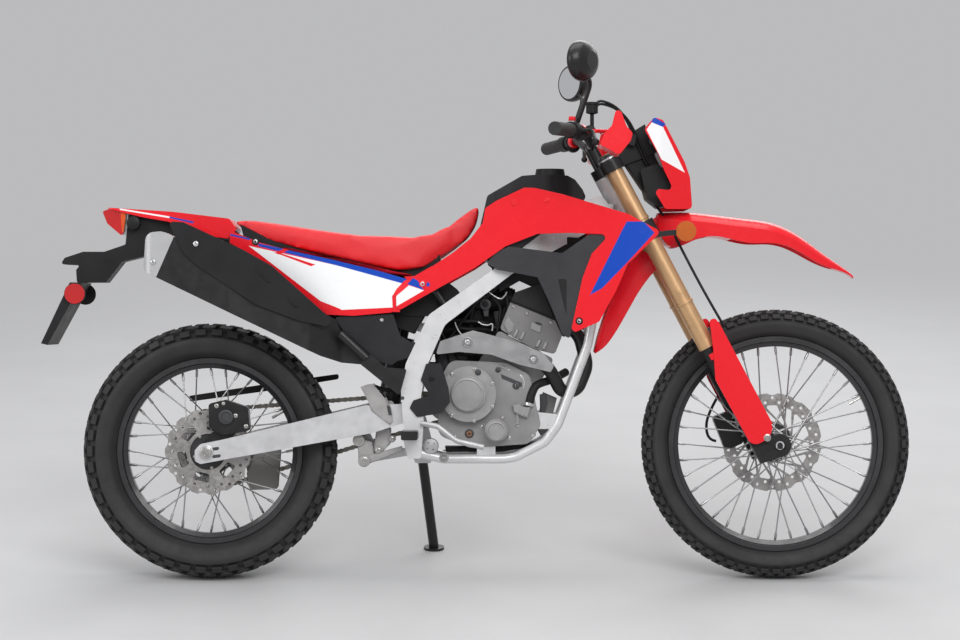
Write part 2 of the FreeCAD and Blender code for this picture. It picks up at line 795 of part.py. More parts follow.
def handlebar():
    """The bar rises from its clamps and sweeps back to the grips."""
    left = bar_line(1)
    right = bar_line(-1)
    bar = tube(list(reversed(right[1:])) + left[1:], S.bar_radius, S.bar_radius * 4)
    posts = []
    foot_height = UPPER_CLAMP_LOW + float(S.upper_clamp_wall + S.running_gap)
    top_height = UPPER_CLAMP_LOW + float(S.upper_clamp_wall + S.bar_rise + S.bar_radius)
    for side in (-1, 1):
        out = side * float(S.bar_post_spacing) / 2
        post_low = FORK.multVec(leg(0, out, foot_height))
        posts.append(rod(post_low, FORK.multVec(leg(0, out, top_height)), S.bar_centre_radius))
    feature("handlebar", [fused(bar, *posts)])
    grips = []
    controls = []
    for side in (-1, 1):
        grip = bar_ring(side, -S.overrun, S.grip_length + S.overrun, S.grip_radius)
        cap_start, heading = on_bar(side, -S.overrun)
        cap = rod(cap_start, cap_start + heading * float(S.overrun - S.running_gap), S.bar_radius + S.running_gap)
        grips.append(fused(grip, cap))
        housing = bar_ring(side, S.grip_length + S.running_gap, S.housing_length, S.housing_radius)
        root = on_bar(side, S.grip_length + S.housing_length / 2)[0]
        ball = at(LEVER_END_SHARE, side * S.bar_width * LEVER_OUT_SHARE)
        knuckle = Vector(ball.x - float(S.lever_radius), root.y, root.z)
        start = root + Vector(S.bar_radius + S.lever_radius, 0, 0)
        lever = tube([start, knuckle, ball], S.lever_radius, S.lever_radius * 3)
        controls.append(fused(housing, lever, Part.makeSphere(S.lever_radius * 1.7, ball)))
    feature("grips", grips)
    feature("hand_controls", controls)
    feature("hand_guards", [hand_guard(side) for side in (-1, 1)])


def hand_guard(side):
    """A scoop ahead of the grip, closed at its outer end, on a stay from the bar."""
    guard_shares = [
        (0.978, 1.205), (0.991, 1.202), (1.003, 1.165), (1.018, 1.147), (1.013, 1.128),
        (0.986, 1.092), (0.956, 1.111), (0.940, 1.118), (0.953, 1.149), (0.969, 1.166),
    ]
    hollow_shares = [
        (0.900, 1.140), (0.900, 1.220), (0.979, 1.220), (0.982, 1.198), (0.994, 1.162),
        (1.009, 1.145), (1.005, 1.133), (0.984, 1.102), (0.957, 1.120), (0.935, 1.128),
    ]
    middle = on_bar(1, S.grip_length * 0.55)[0].y
    low = middle - float(S.grip_length) / 2
    high = middle + float(S.grip_length) / 2
    scoop = slab(guard_shares, low, high, SOFT)
    scoop = scoop.cut(slab(hollow_shares, low - S.overrun, high - S.panel_wall))
    start, heading = on_bar(1, S.grip_length + S.housing_length + S.ring_width * 2 + S.overrun)
    ring_middle = start + heading * float(S.ring_width / 2)
    root = ring_middle + Vector(S.bar_radius + S.lever_radius, 0, 0)
    elbow = root + Vector(S.ring_width * 2, 0, 0)
    seat = at(GUARD_SEAT_SHARE, low + S.ring_width)
    stay = tube([root, elbow, seat], S.lever_radius, S.lever_radius * 3)
    inboard = S.grip_length + S.housing_length + S.ring_width * 2 + S.overrun
    guard = fused(scoop, stay, bar_ring(1, inboard, S.ring_width, S.housing_radius * 0.8))
    return guard if side > 0 else guard.mirror(Vector(0, 0, 0), LEFTWARD)


MIRROR_KNEE_SHARE = (0.925, 1.281)
MIRROR_HEAD_SHARE = (0.905, 1.335)
MIRROR_SECTION_SHARES = [(-0.30, 0.94), (-0.15, 1.0), (0.15, 0.94), (0.38, 0.74), (0.52, 0.45)]


def mirrors():
    """Two domed heads with a flat glass behind, each on a bent stem from a ring on the bar."""
    solids = []
    for side in (-1, 1):
        inboard = S.grip_length + S.housing_length + S.overrun
        ring_middle = on_bar(side, inboard + S.ring_width / 2)[0]
        collar = bar_ring(side, inboard, S.ring_width, S.housing_radius * 0.8)
        root = ring_middle + Vector(0, 0, S.bar_radius + S.mirror_stem_radius / 2)
        knee = at(MIRROR_KNEE_SHARE, side * S.mirror_span * 0.40)
        head = at(MIRROR_HEAD_SHARE, side * S.mirror_span / 2)
        stem = tube([root, knee, head], S.mirror_stem_radius, S.mirror_stem_radius * 6)
        rounds = []
        for ahead, size in MIRROR_SECTION_SHARES:
            oval = Part.Ellipse(Vector(), S.mirror_half_width * size, S.mirror_half_height * size).toShape()
            oval.Placement = Placement(FORWARD * float(S.mirror_half_height * ahead), Rotation(Vector(1, 1, 1), 120))
            rounds.append(Part.Wire([oval]))
        dome = Part.makeLoft(rounds, True)
        dome.Placement = Placement(head, Rotation(UPWARD, side * float(S.mirror_yaw)))
        solids.append(fused(collar, stem, dome))
    feature("mirrors", solids)


def front_bodywork():
    cowl_shares = [
        (1.0603, 1.1777), (1.0846, 1.2085), (1.1064, 1.2009), (1.1606, 1.0932), (1.1741, 1.0525), (1.1795, 0.9709),
        (1.1118, 0.9693), (1.0802, 1.0233), (1.1334, 1.0175), (1.1064, 1.0757), (1.0955, 1.1107),
    ]
    cowl_plan_shares = [(1.0, 1.0), (1.10, 1.0), (1.19, 0.62)]
    hollow_shares = [
        (1.00, 1.30), (1.078, 1.200), (1.098, 1.195), (1.152, 1.090), (1.1655, 1.050), (1.171, 0.963), (1.10, 0.960),
        (1.00, 0.960),
    ]
    housing_shares = [(1.052, 1.075), (1.095, 1.090), (1.1241, 1.0645), (1.1294, 0.985), (1.10, 0.975), (1.07, 1.00)]
    window_shares = [(1.10, 1.0605), (1.20, 1.0605), (1.20, 0.9845), (1.10, 0.9845)]
    lens_shares = [(1.125, 1.060), (1.1665, 1.060), (1.176, 1.040), (1.1805, 0.985), (1.130, 0.985)]
    half = float(S.cowl_width) / 2
    lens_half = float(S.lens_width) / 2
    mask = slab(cowl_shares, -half, half, SOFT)
    hollow = slab(hollow_shares, -half, half).common(plan_block(cowl_plan_shares, half - S.panel_wall, ROUND))
    window = slab(window_shares, -lens_half - S.running_gap, lens_half + S.running_gap)
    cover = mask.common(plan_block(cowl_plan_shares, half, ROUND)).cut(hollow).cut(window)
    feature("headlight_cowl", [cover])
    feature("headlight", [slab(lens_shares, -lens_half, lens_half, FINE)])
    housing_half = float(S.lamp_housing_width) / 2
    feature("headlight_housing", [slab(housing_shares, -housing_half, housing_half, SOFT)])
    meter_shares = [(1.00, 1.185), (1.045, 1.165), (1.040, 1.135), (0.995, 1.155)]
    bracket_shares = [
        (0.9958, 1.0774), (0.9868, 1.0955), (1.000, 1.160), (1.040, 1.150), (1.096, 1.142), (1.096, 1.122), (1.060, 1.105),
        (1.022, 1.090),
    ]
    bar_share = (1.0915, 1.132)
    meter_half = float(S.meter_width) / 2
    meter = slab(meter_shares, -meter_half, meter_half, FINE)
    place = meter_half * 0.6
    plates = [slab(bracket_shares, low, low + S.panel_wall) for low in (-place - S.panel_wall, place)]
    inside = half - S.panel_wall - S.running_gap
    bar = across(at(bar_share), S.lever_radius, -inside, inside)
    feature("meter", [fused(meter, bar, *plates)])
    front_fender()
    front_reflectors()


FENDER_SECTION_SHARES = [
    (1.0975, 0.9621, 0.9282, 0.685), (1.1452, 0.9641, 0.8718, 0.904), (1.1929, 0.9615, 0.8928, 0.973),
    (1.2931, 0.9487, 0.8872, 1.0), (1.3647, 0.9385, 0.8821, 0.973), (1.4028, 0.9262, 0.8769, 0.904),
    (1.4696, 0.8831, 0.8421, 0.712), (1.5269, 0.8385, 0.8154, 0.493), (1.5794, 0.7979, 0.7897, 0.247),
]
FENDER_ARCH_SHARES = [(-1.0, 1.0), (-0.72, 0.22), (0.0, 0.0), (0.72, 0.22), (1.0, 1.0)]
FENDER_SHOULDER_SHARE = 0.45


def fender_section(share, inset, drop):
    """An arch across the fender with straight skirts down to its edge."""
    along, top, bottom, out = share
    ahead = REACH * along
    half = float(S.front_fender_width) / 2 * out - inset
    shoulder = min(RISE * (top - bottom) * FENDER_SHOULDER_SHARE, float(S.fender_shoulder))
    high = RISE * top - inset
    low = RISE * bottom - drop
    arch = Part.BSplineCurve()
    arch.interpolate([Vector(ahead, half * a, high - shoulder * b) for a, b in FENDER_ARCH_SHARES])
    corners = [Vector(ahead, half, high - shoulder), Vector(ahead, half, low)]
    corners += [Vector(ahead, -half, low), Vector(ahead, -half, high - shoulder)]
    skirts = [Part.LineSegment(a, b).toShape() for a, b in zip(corners, corners[1:])]
    return Part.Wire([arch.toShape()] + skirts)


def front_fender():
    """An arched blade with skirts, hollow below, on a tongue from the lower clamp."""
    tongue_shares = [(1.1065, 0.961), (1.1135, 0.9455)]
    wall = float(S.panel_wall)
    outside = Part.makeLoft([fender_section(share, 0.0, 0.0) for share in FENDER_SECTION_SHARES], True)
    opened = [(FENDER_SECTION_SHARES[0][0] - FINE_SHARE, *FENDER_SECTION_SHARES[0][1:])] + FENDER_SECTION_SHARES[:-1]
    inside = Part.makeLoft([fender_section(share, wall, wall * 4) for share in opened], True)
    half = float(S.front_fender_width) / 2
    face = float(S.clamp_front + S.running_gap)
    low = -half * 0.35
    tongue_points = [
        FORK.multVec(leg(face, low, LOWER_CLAMP_TOP - S.lower_clamp_wall * 0.8)),
        FORK.multVec(leg(face, low, LOWER_CLAMP_TOP - S.lower_clamp_wall * 0.2)),
        at(tongue_shares[0], low),
        at(tongue_shares[1], low),
    ]
    tongue = block(tongue_points, LEFTWARD, half * 0.7)
    feature("front_fender", [fused(outside.cut(inside), tongue)])


REFLECTOR_SHARE = 0.0265
FRONT_REFLECTOR_SHARE = (1.161, 0.911)
REAR_REFLECTOR_SHARE = (-0.322, 0.749)


def front_reflectors():
    """Round reflectors on flat stalks, each stalk from a ring below the lower clamp."""
    centre = at(FRONT_REFLECTOR_SHARE)
    radius = RISE * REFLECTOR_SHARE
    spacing = float(S.leg_spacing) / 2
    offset = float(S.leg_offset)
    solids = []
    for side in (-1, 1):
        out = side * (spacing + float(S.tube_radius) * 0.8)
        low = LOWER_CLAMP_TOP - float(S.lower_clamp_wall + S.ring_width + S.running_gap)
        start = leg(offset, side * spacing, low)
        collar = Part.makeCylinder(S.tube_radius + S.panel_wall, S.ring_width, start, Vector(0, 0, 1))
        collar = collar.cut(
            Part.makeCylinder(
                S.tube_radius + S.axle_gap, S.ring_width + S.overrun * 2, start - Vector(0, 0, S.overrun), Vector(0, 0, 1)
            )
        )
        collar.Placement = FORK.multiply(collar.Placement)
        root = FORK.multVec(leg(offset + S.tube_radius * 0.82, 0, low + S.ring_width / 2))
        stalk_height = Vector(0, 0, float(S.ring_width) / 2)
        stalk_low = out - float(S.panel_wall) / 2
        points = [root - stalk_height, centre - stalk_height, centre + stalk_height, root + stalk_height]
        points = [Vector(point.x, stalk_low, point.z) for point in points]
        stalk = block(points, LEFTWARD, S.panel_wall)
        solids.append(fused(collar, stalk))
        near = abs(out) + float(S.panel_wall / 2 + S.running_gap)
        solids.append(across(centre, radius, *sorted((side * near, side * (near + float(S.lens_wall))))))
    feature("front_reflectors", solids)


SPAR_BEND_SHARE = 0.2


def frame():
    """Twin spars from the head to the swingarm pivot, and a tube cradle under the engine."""
    spar_shares = [
        (0.954, 1.019), (0.835, 0.925), (0.690, 0.808), (0.539, 0.694), (0.483, 0.567), (0.471, 0.498), (0.478, 0.393),
        (0.529, 0.393), (0.520, 0.482), (0.533, 0.557), (0.578, 0.668), (0.740, 0.800), (0.998, 0.954),
    ]
    spar_plan_shares = [(1.02, 0.29), (0.885, 0.36), (0.80, 0.76), (0.68, 0.95), (0.56, 1.0), (0.44, 1.0)]
    bridge_shares = [(0.890, 0.955), (0.935, 0.988), (0.99, 0.985), (0.985, 0.955), (0.93, 0.935), (0.87, 0.93)]
    stand_lug_shares = [(0.482, 0.42), (0.527, 0.42), (0.545, 0.345), (0.54, 0.295), (0.50, 0.295), (0.482, 0.36)]
    peg_lug_shares = [(0.478, 0.42), (0.527, 0.42), (0.520, 0.320), (0.488, 0.320), (0.478, 0.365)]
    cross_share = (0.548, 0.655)
    shock_arm_shares = [(0.548, 0.640), (0.548, 0.670), (0.466, 0.677), (0.466, 0.662)]
    half = float(S.frame_width) / 2
    spar = shell(spar_shares, spar_plan_shares, half, S.spar_width, ROUND, RISE * SPAR_BEND_SHARE)
    head_length = S.head_tube_below + S.head_tube_above
    head_low = FORK.multVec(leg(0, 0, LOWER_CLAMP_TOP + float(S.running_gap)))
    head = Part.makeCylinder(S.head_tube_radius, head_length - S.running_gap * 2, head_low, UP_FORK)
    bore_low = FORK.multVec(leg(0, 0, LOWER_CLAMP_TOP - float(S.overrun)))
    bore = Part.makeCylinder(S.clamp_bolt_radius + S.running_gap, head_length + S.overrun * 2, bore_low, UP_FORK)
    bridge = slab(bridge_shares, -half * 0.27, half * 0.27)
    inner = half - float(S.lug_wall)
    stand_lug = slab(stand_lug_shares, inner, half, FINE)
    peg_lug = slab(peg_lug_shares, -half, -inner, FINE)
    cross_tube = across(at(cross_share), S.tube_slim, -inner, inner)
    shock_arm = slab(shock_arm_shares, -S.tube_slim, S.tube_slim)
    pivot, foot = stand_places()
    hinge = stand_axis(pivot, foot)
    pin_reach = float(S.stand_radius) * 1.9
    pin = rod(pivot - hinge * pin_reach, pivot + hinge * float(S.stand_radius + S.overrun), S.stand_pin_radius)
    whole = fused(*both(spar), head, bridge, stand_lug, peg_lug, cross_tube, shock_arm, pin)
    feature("main_frame", [whole.cut(bore)])
    cradle(half)


def cradle(half):
    rail_shares = [
        (0.950, 0.80), (0.940, 0.70), (0.925, 0.615), (0.884, 0.497), (0.852, 0.406), (0.821, 0.361),
        (0.750, 0.322), (0.721, 0.317), (0.573, 0.317), (0.505, 0.335),
    ]
    lower_lug_shares = [(0.655, 0.322), (0.700, 0.322), (0.700, 0.360), (0.655, 0.360)]
    front_lug_shares = [(0.795, 0.440), (0.795, 0.395), (0.848, 0.395), (0.862, 0.432)]
    stay_share = (0.944, 0.740)
    rear_share = rail_shares[-1]
    place = float(S.rail_place)
    radius = S.tube_slim
    pieces = []
    for side in (-1, 1):
        pieces.append(tube([at(share, side * place) for share in rail_shares], radius, WIDE))
        low = side * place if side < 0 else place - float(S.engine_lug_width)
        for lug_shares, away in ((lower_lug_shares, DOWNWARD), (front_lug_shares, FORWARD)):
            lug = slab(lug_shares, low, low + float(S.engine_lug_width))
            pieces.append(largest(trimmed(lug, "crankcase", away)))
        pieces.append(across(at(stay_share), radius / 2, *sorted((side * place, side * float(S.shroud_stay_end)))))
    lug_face = half - float(S.lug_wall + S.running_gap)
    pieces.append(across(at(rear_share), radius * 0.8, -lug_face, lug_face))
    feature("frame_cradle", [fused(*pieces)])


def subframe():
    rail_shares = [(0.590, 0.700, 1.0), (0.550, 0.762, 1.0), (0.300, 0.835, 0.96), (-0.020, 0.905, 0.62)]
    hanger_shares = [(0.050, 0.890), (0.090, 0.882), (0.092, 0.806), (0.060, 0.806)]
    boss_share = (0.075, 0.818)
    loop_share = (-0.012, 0.9033)
    place = float(SUBFRAME_PLACE)
    radius = S.tube_slim * 0.8
    rails = []
    for side in (-1, 1):
        rails.append(tube([at((a, b), side * place * c) for a, b, c in rail_shares], radius, WIDE))
        pin = across(at(rail_shares[0][:2]), radius, *sorted((side * place, side * (place + float(S.lug_wall * 1.5)))))
        rails.append(largest(trimmed(pin, "main_frame", RIGHTWARD * side)))
    outer = -place * 0.87
    hanger = slab(hanger_shares, outer, outer + S.lug_wall / 2, FINE)
    boss = across(at(boss_share), S.boss_radius, -float(S.silencer_out) * 0.52, outer + S.lug_wall / 2)
    boss = largest(trimmed(boss, "silencer", LEFTWARD))
    loop = across(at(loop_share), radius, -place * 0.62, place * 0.62)
    front_cross = across(at(rail_shares[2][:2]), radius, -place * 0.96, place * 0.96)
    feature("rear_subframe", [fused(*rails, loop, front_cross, hanger, boss)])


def swingarm():
    """Two arms that close in from the axle to the pivot, joined by the pivot tube and a brace."""
    outer = float(S.swingarm_width) / 2
    front = float(S.frame_width) / 2 - float(S.spar_width + S.running_gap)
    pivot = at(PIVOT_SHARE)
    axle = REAR_AXLE
    top = float(S.pivot_radius)
    arm_shares = [(-0.03, 0.006), (-0.015, 0.022), (0.04, 0.033)]
    arm_front_shares = [(-0.12, 0.016), (0.006, 0.0215), (0.006, -0.0215), (-0.10, -0.056)]
    arm_under_shares = [(0.06, -0.016), (-0.015, -0.03), (-0.03, -0.022)]
    side_points = [Vector(axle.x + RISE * a, 0, axle.z + RISE * b) for a, b in arm_shares]
    side_points += [Vector(pivot.x + RISE * a, 0, pivot.z + RISE * b) for a, b in arm_front_shares]
    side_points += [Vector(axle.x + RISE * a, 0, axle.z + RISE * b) for a, b in arm_under_shares]
    profile = block(side_points, LEFTWARD, outer * 1.5, SOFT)
    plan = [
        Vector(axle.x - top * 2, outer, 0),
        Vector(axle.x + top * 5, outer, 0),
        Vector(pivot.x - top * 6.5, front, 0),
        Vector(pivot.x + top * 2, front, 0),
    ]
    inside = [point - LEFTWARD * float(S.arm_width) for point in reversed(plan)]
    arm = outline(plan + inside).extrude(Vector(0, 0, RISE)).common(profile)
    arm = arm.cut(across(axle, S.rear_axle_radius + S.axle_gap, 0, outer * 1.5))
    tube_across = across(pivot, S.pivot_radius, -front, front)
    brace_half = front - S.arm_width * 0.5
    brace_rear = float(S.rear_tyre_radius + S.brace_gap)
    brace_shares = [(0.0, 0.0845), (1.0, 0.0945), (1.0, 0.0625), (0.0, 0.0525)]
    brace_points = [
        Vector(axle.x + brace_rear + float(S.brace_length) * a, -brace_half, axle.z + RISE * b) for a, b in brace_shares
    ]
    brace = block(brace_points, LEFTWARD, brace_half * 2, FINE)
    feature("swingarm", [fused(*both(arm), tube_across, brace)])
    half = outer + float(S.overrun)
    collar_from = float(S.chain_line) - float(S.running_gap)
    collar_to = outer - float(S.arm_width + S.running_gap)
    axle_solid = collared_axle(axle, S.rear_axle_radius, S.rear_axle_bore, half, collar_from, collar_to)
    feature("rear_axle", [axle_solid])
    chain_guards()


def chain_guards():
    guard_shares = [(-0.063, 0.477), (0.131, 0.509), (0.310, 0.536), (0.310, 0.522), (0.131, 0.490), (-0.058, 0.462)]
    stay_shares = [(0.19, 0.400), (0.23, 0.410), (0.235, 0.522), (0.20, 0.515)]
    guide_shares = [(0.071, 0.330), (0.168, 0.345), (0.160, 0.228), (0.091, 0.226)]
    tunnel_shares = [(0.0, 0.236), (0.30, 0.236), (0.30, 0.325), (0.0, 0.325)]
    line = float(S.chain_line)
    half = float(S.chain_width) / 2
    edge = line + half * 1.8
    guard = slab(guard_shares, line - half, edge, FINE)
    stay = largest(trimmed(slab(stay_shares, edge - S.panel_wall, edge), "swingarm", UPWARD))
    guide = slab(guide_shares, line - half * 1.55, line + half * 1.55, SOFT)
    tunnel = slab(tunnel_shares, line - half * 1.17, line + half * 1.17)
    sweep = sprocket_radius(int(S.rear_teeth)) + S.overrun
    guide = guide.cut(tunnel).cut(across(REAR_AXLE, sweep, 0, line + half))
    feature("chain_guards", [fused(guard, stay), largest(trimmed(guide, "swingarm", DOWNWARD))])


FRONT_SPROCKET_SHARE = (0.573, 0.451)


def drive_chain():
    """A loop round both sprockets, with the front sprocket that carries it."""
    front = at(FRONT_SPROCKET_SHARE)
    big = sprocket_radius(int(S.rear_teeth))
    small = sprocket_radius(int(S.front_teeth))
    span = math.hypot(front.x - REAR_AXLE.x, front.z - REAR_AXLE.z)
    slope = math.atan2(front.z - REAR_AXLE.z, front.x - REAR_AXLE.x)
    spread = math.acos((big - small) / span)
    half_height = float(S.chain_height) / 2

    def loop(extra):
        places = []
        for centre, radius, turns in (
            (front, small + extra, (spread, 0, -spread)),
            (REAR_AXLE, big + extra, (-spread, math.pi, spread)),
        ):
            for turn in turns:
                angle = slope + turn
                places.append(Vector(centre.x + radius * math.cos(angle), 0, centre.z + radius * math.sin(angle)))
        a, b, c, d, e, f = places
        return Part.Wire([
            Part.Arc(a, b, c).toShape(),
            Part.LineSegment(c, d).toShape(),
            Part.Arc(d, e, f).toShape(),
            Part.LineSegment(f, a).toShape(),
        ])

    outside = Part.Face(loop(half_height))
    inside = Part.Face(loop(-half_height))
    band = outside.cut(inside).extrude(LEFTWARD * float(S.chain_width))
    band.translate(LEFTWARD * float(S.chain_line - S.chain_width / 2))
    groove_face = Part.Face(loop(half_height * 0.4)).cut(Part.Face(loop(-half_height * 2)))
    groove = groove_face.extrude(LEFTWARD * float(S.chain_width - S.plate_wall * 4))
    groove.translate(LEFTWARD * float(S.chain_line - S.chain_width / 2 + S.plate_wall * 2))
    feature("drive_chain", [band.cut(groove)])
    half_wall = S.sprocket_wall / 2
    disc_radius = small + half_height * 0.4 - S.running_gap
    disc = across(front, disc_radius, S.chain_line - half_wall, S.chain_line + half_wall)
    boss = across(front, S.sprocket_boss_radius, S.case_left + S.running_gap, S.chain_line + half_wall * 2)
    feature("front_sprocket", [fused(disc, boss)])


def by_disc(share, left):
    """A place given in shares of the rear disc's radius from the axle."""
    return REAR_AXLE + Vector(S.rear_disc_radius * share[0], left, S.rear_disc_radius * share[1])


def rear_brake():
    caliper_shares = [(0.038, 1.122), (0.429, 1.211), (0.953, 1.034), (1.000, 0.502), (0.381, 0.395), (0.057, 0.573)]
    bracket_shares = [
        (-0.210, 0.085), (-0.191, -0.154), (0.210, -0.190), (0.429, 0.130), (0.714, 0.528), (0.286, 0.573), (0.095, 0.440),
    ]
    place = -float(S.rear_disc_place)
    low = place - float(S.caliper_width) * (1 - CALIPER_INNER_SHARE)
    body = block([by_disc(share, low) for share in caliper_shares], LEFTWARD, S.caliper_width, SOFT)
    edge = -(float(S.swingarm_width) / 2 - float(S.arm_width + S.running_gap))
    bracket = block([by_disc(share, edge) for share in bracket_shares], LEFTWARD, S.lug_wall / 2, FINE)
    bracket = bracket.cut(across(REAR_AXLE, S.axle_collar_radius + S.running_gap, edge - S.overrun, edge + S.lug_wall))
    gap = S.disc_wall * 1.2
    slot = across(REAR_AXLE, S.rear_disc_radius + S.overrun, place - gap, place + gap)
    feature("rear_caliper", [fused(body, bracket).cut(slot)])


def engine():
    right = -float(S.case_right)
    left = float(S.case_left)
    case_shares = [
        (0.560, 0.514), (0.590, 0.575), (0.725, 0.569), (0.783, 0.538), (0.810, 0.405), (0.783, 0.356),
        (0.638, 0.346), (0.560, 0.379),
    ]
    barrel_shares = [(0.655, 0.565), (0.709, 0.6530), (0.8436, 0.5780), (0.800, 0.50)]
    head_shares = [
        (0.7115, 0.6556), (0.7161, 0.6726), (0.7364, 0.7261), (0.7476, 0.7526), (0.8108, 0.7769), (0.8335, 0.7067),
        (0.8628, 0.6388), (0.8447, 0.590), (0.7927, 0.6047),
    ]
    clutch_share = (0.634, 0.487)
    pump_share = (0.702, 0.393)
    flywheel_share = (0.70, 0.45)
    throat_shares = [(0.60, 0.715), (0.7515, 0.736)]
    barrel_half = float(S.barrel_width) / 2
    head_half = float(S.head_width) / 2
    case = slab(case_shares, right, left, ROUND)
    barrel = slab(barrel_shares, -barrel_half, barrel_half, SOFT)
    feature("crankcase", [fused(case, barrel)])
    outer = right - float(S.cover_width + S.running_gap)
    inner = right - float(S.running_gap)
    clutch_cover = across(at(clutch_share), S.clutch_cover_radius, outer * 0.92, inner)
    clutch_cap = across(at(clutch_share), S.clutch_cover_radius * 0.63, outer, inner)
    pump_cover = across(at(pump_share), S.clutch_cover_radius * 0.41, outer * 1.02, inner)
    left_start = left + float(S.running_gap)
    left_end = left_start + float(S.cover_width)
    left_cover = across(at(flywheel_share), S.clutch_cover_radius * 0.93, left_start, left_end * 0.92)
    left_cap = across(at(flywheel_share), S.clutch_cover_radius * 0.55, left_start, left_end)
    feature("engine_covers", [fused(clutch_cover, clutch_cap, pump_cover), fused(left_cover, left_cap)])
    head = slab(head_shares, -head_half, head_half, SOFT)
    feature("cylinder_head", [largest(trimmed(head, "crankcase", UPWARD))])
    throat = rod(at(throat_shares[0]), at(throat_shares[1]), S.intake_radius)
    throat = largest(trimmed(throat, "cylinder_head", BACKWARD))
    airbox_shares = [(0.42, 0.75), (0.56, 0.80), (0.62, 0.75), (0.60, 0.69), (0.50, 0.69), (0.43, 0.70)]
    airbox_half = float(S.airbox_width) / 2
    feature("intake", [fused(throat, slab(airbox_shares, -airbox_half, airbox_half, ROUND))])
    core_shares = [(0.895, 0.885), (0.945, 0.89), (0.930, 0.655), (0.880, 0.650)]
    stay_shares = [(0.892, 0.875), (0.925, 0.880), (0.925, 0.930), (0.892, 0.910)]
    core = slab(core_shares, S.radiator_inside, S.radiator_outside, FINE)
    stay = slab(stay_shares, S.radiator_stay_start, S.radiator_inside + S.overrun * 2)
    feature("radiator", [fused(core, stay)])
    pipe_shares = [
        (0.830, 0.690, -0.150), (0.905, 0.645, -0.224), (0.925, 0.56, -0.284), (0.900, 0.495, -0.336), (0.862, 0.490, -0.41),
        (0.835, 0.545, -0.60), (0.80, 0.588, -0.657), (0.640, 0.622, -0.634), (0.50, 0.60, -0.59), (0.44, 0.585, -0.657),
        (0.408, 0.582, -0.672),
    ]
    half = float(S.frame_width) / 2
    pipe = tube([at((a, b), half * c) for a, b, c in pipe_shares], S.pipe_radius, PIPE_BEND)
    feature("exhaust_header", [largest(trimmed(pipe, "cylinder_head", FORWARD))])


def exhaust():
    shield_shares = [
        (0.555, 0.590), (0.566, 0.625), (0.645, 0.653), (0.696, 0.639), (0.765, 0.618), (0.817, 0.593), (0.842, 0.560),
        (0.834, 0.544), (0.754, 0.565), (0.690, 0.590), (0.611, 0.597),
    ]
    low = -float(S.frame_width) * 0.3285 - float(S.pipe_radius + S.running_gap + S.panel_wall)
    feature("header_shield", [slab(shield_shares, low, low + S.panel_wall, FINE)])
    body_shares = [
        (-0.077, 0.897), (0.084, 0.831), (0.228, 0.732), (0.325, 0.675), (0.402, 0.597), (0.391, 0.563),
        (0.327, 0.569), (0.278, 0.587), (-0.119, 0.793), (-0.146, 0.807), (-0.139, 0.905), (-0.099, 0.909),
    ]
    body_plan_shares = [
        (-0.15, -1.0), (0.06, -1.0), (0.25, -0.875), (0.33, -0.60), (0.41, -0.60), (0.41, -0.345), (0.05, -0.50), (-0.15, -0.50),
    ]
    body_side = slab(body_shares, -S.silencer_out * 1.2, 0.0, ROUND)
    corners = [Vector(REACH * along, S.silencer_out * out, 0) for along, out in body_plan_shares]
    feature("silencer", [outline(corners, ROUND).extrude(Vector(0, 0, RISE)).common(body_side)])
    guard_shares = [
        (-0.084, 0.934), (-0.048, 0.932), (0.097, 0.860), (0.163, 0.820), (0.291, 0.696), (0.308, 0.673),
        (0.291, 0.664), (0.231, 0.677), (0.125, 0.720), (-0.010, 0.816), (-0.048, 0.851), (-0.074, 0.908),
    ]
    guard_plan_shares = [(-0.09, 1.0), (0.05, 1.0), (0.14, 0.97), (0.25, 0.885), (0.32, 0.80)]
    guard_out = S.silencer_out + S.running_gap * 2 + S.panel_wall
    cover = shell(guard_shares, guard_plan_shares, guard_out, S.panel_wall, SOFT)
    feature("silencer_guard", [cover.mirror(Vector(0, 0, 0), LEFTWARD)])


def tank_and_seat():
    tank_shares = [
        (0.674, 0.975), (0.680, 1.003), (0.764, 1.055), (0.795, 1.058), (0.877, 1.060), (0.895, 1.050), (0.914, 1.023),
        (0.922, 1.004), (0.914, 0.9905), (0.835, 0.9265), (0.700, 0.8185), (0.648, 0.860), (0.662, 0.92),
    ]
    tank_plan_shares = [(0.62, 0.75), (0.70, 0.97), (0.74, 0.97), (0.83, 0.80), (0.882, 0.30), (0.93, 0.29)]
    half = float(S.tank_width) / 2
    tank = slab(tank_shares, -half, half, SOFT).common(plan_block(tank_plan_shares, half, ROUND))
    feature("fuel_tank", [tank])
    cap_share = (0.835, 1.0555)
    cap = Part.makeCone(S.cap_radius, S.cap_radius * 0.9, S.cap_height, at(cap_share), UPWARD)
    feature("fuel_cap", [largest(trimmed(cap, "fuel_tank", UPWARD))])
    seat_shares = [
        (0.054, 0.943), (0.115, 0.940), (0.202, 0.926), (0.299, 0.910), (0.374, 0.900), (0.498, 0.896), (0.546, 0.906),
        (0.590, 0.929), (0.634, 0.965), (0.664, 0.990), (0.655, 0.933), (0.634, 0.896), (0.590, 0.859), (0.524, 0.815),
        (0.459, 0.809), (0.287, 0.849), (0.132, 0.891), (0.081, 0.920),
    ]
    seat_plan_shares = [(0.04, 0.62), (0.20, 0.80), (0.36, 1.0), (0.50, 0.92), (0.60, 0.62), (0.70, 0.5)]
    half = float(S.seat_width) / 2
    seat = slab(seat_shares, -half, half, WIDE).common(plan_block(seat_plan_shares, half, WIDE))
    feature("seat", [seat])


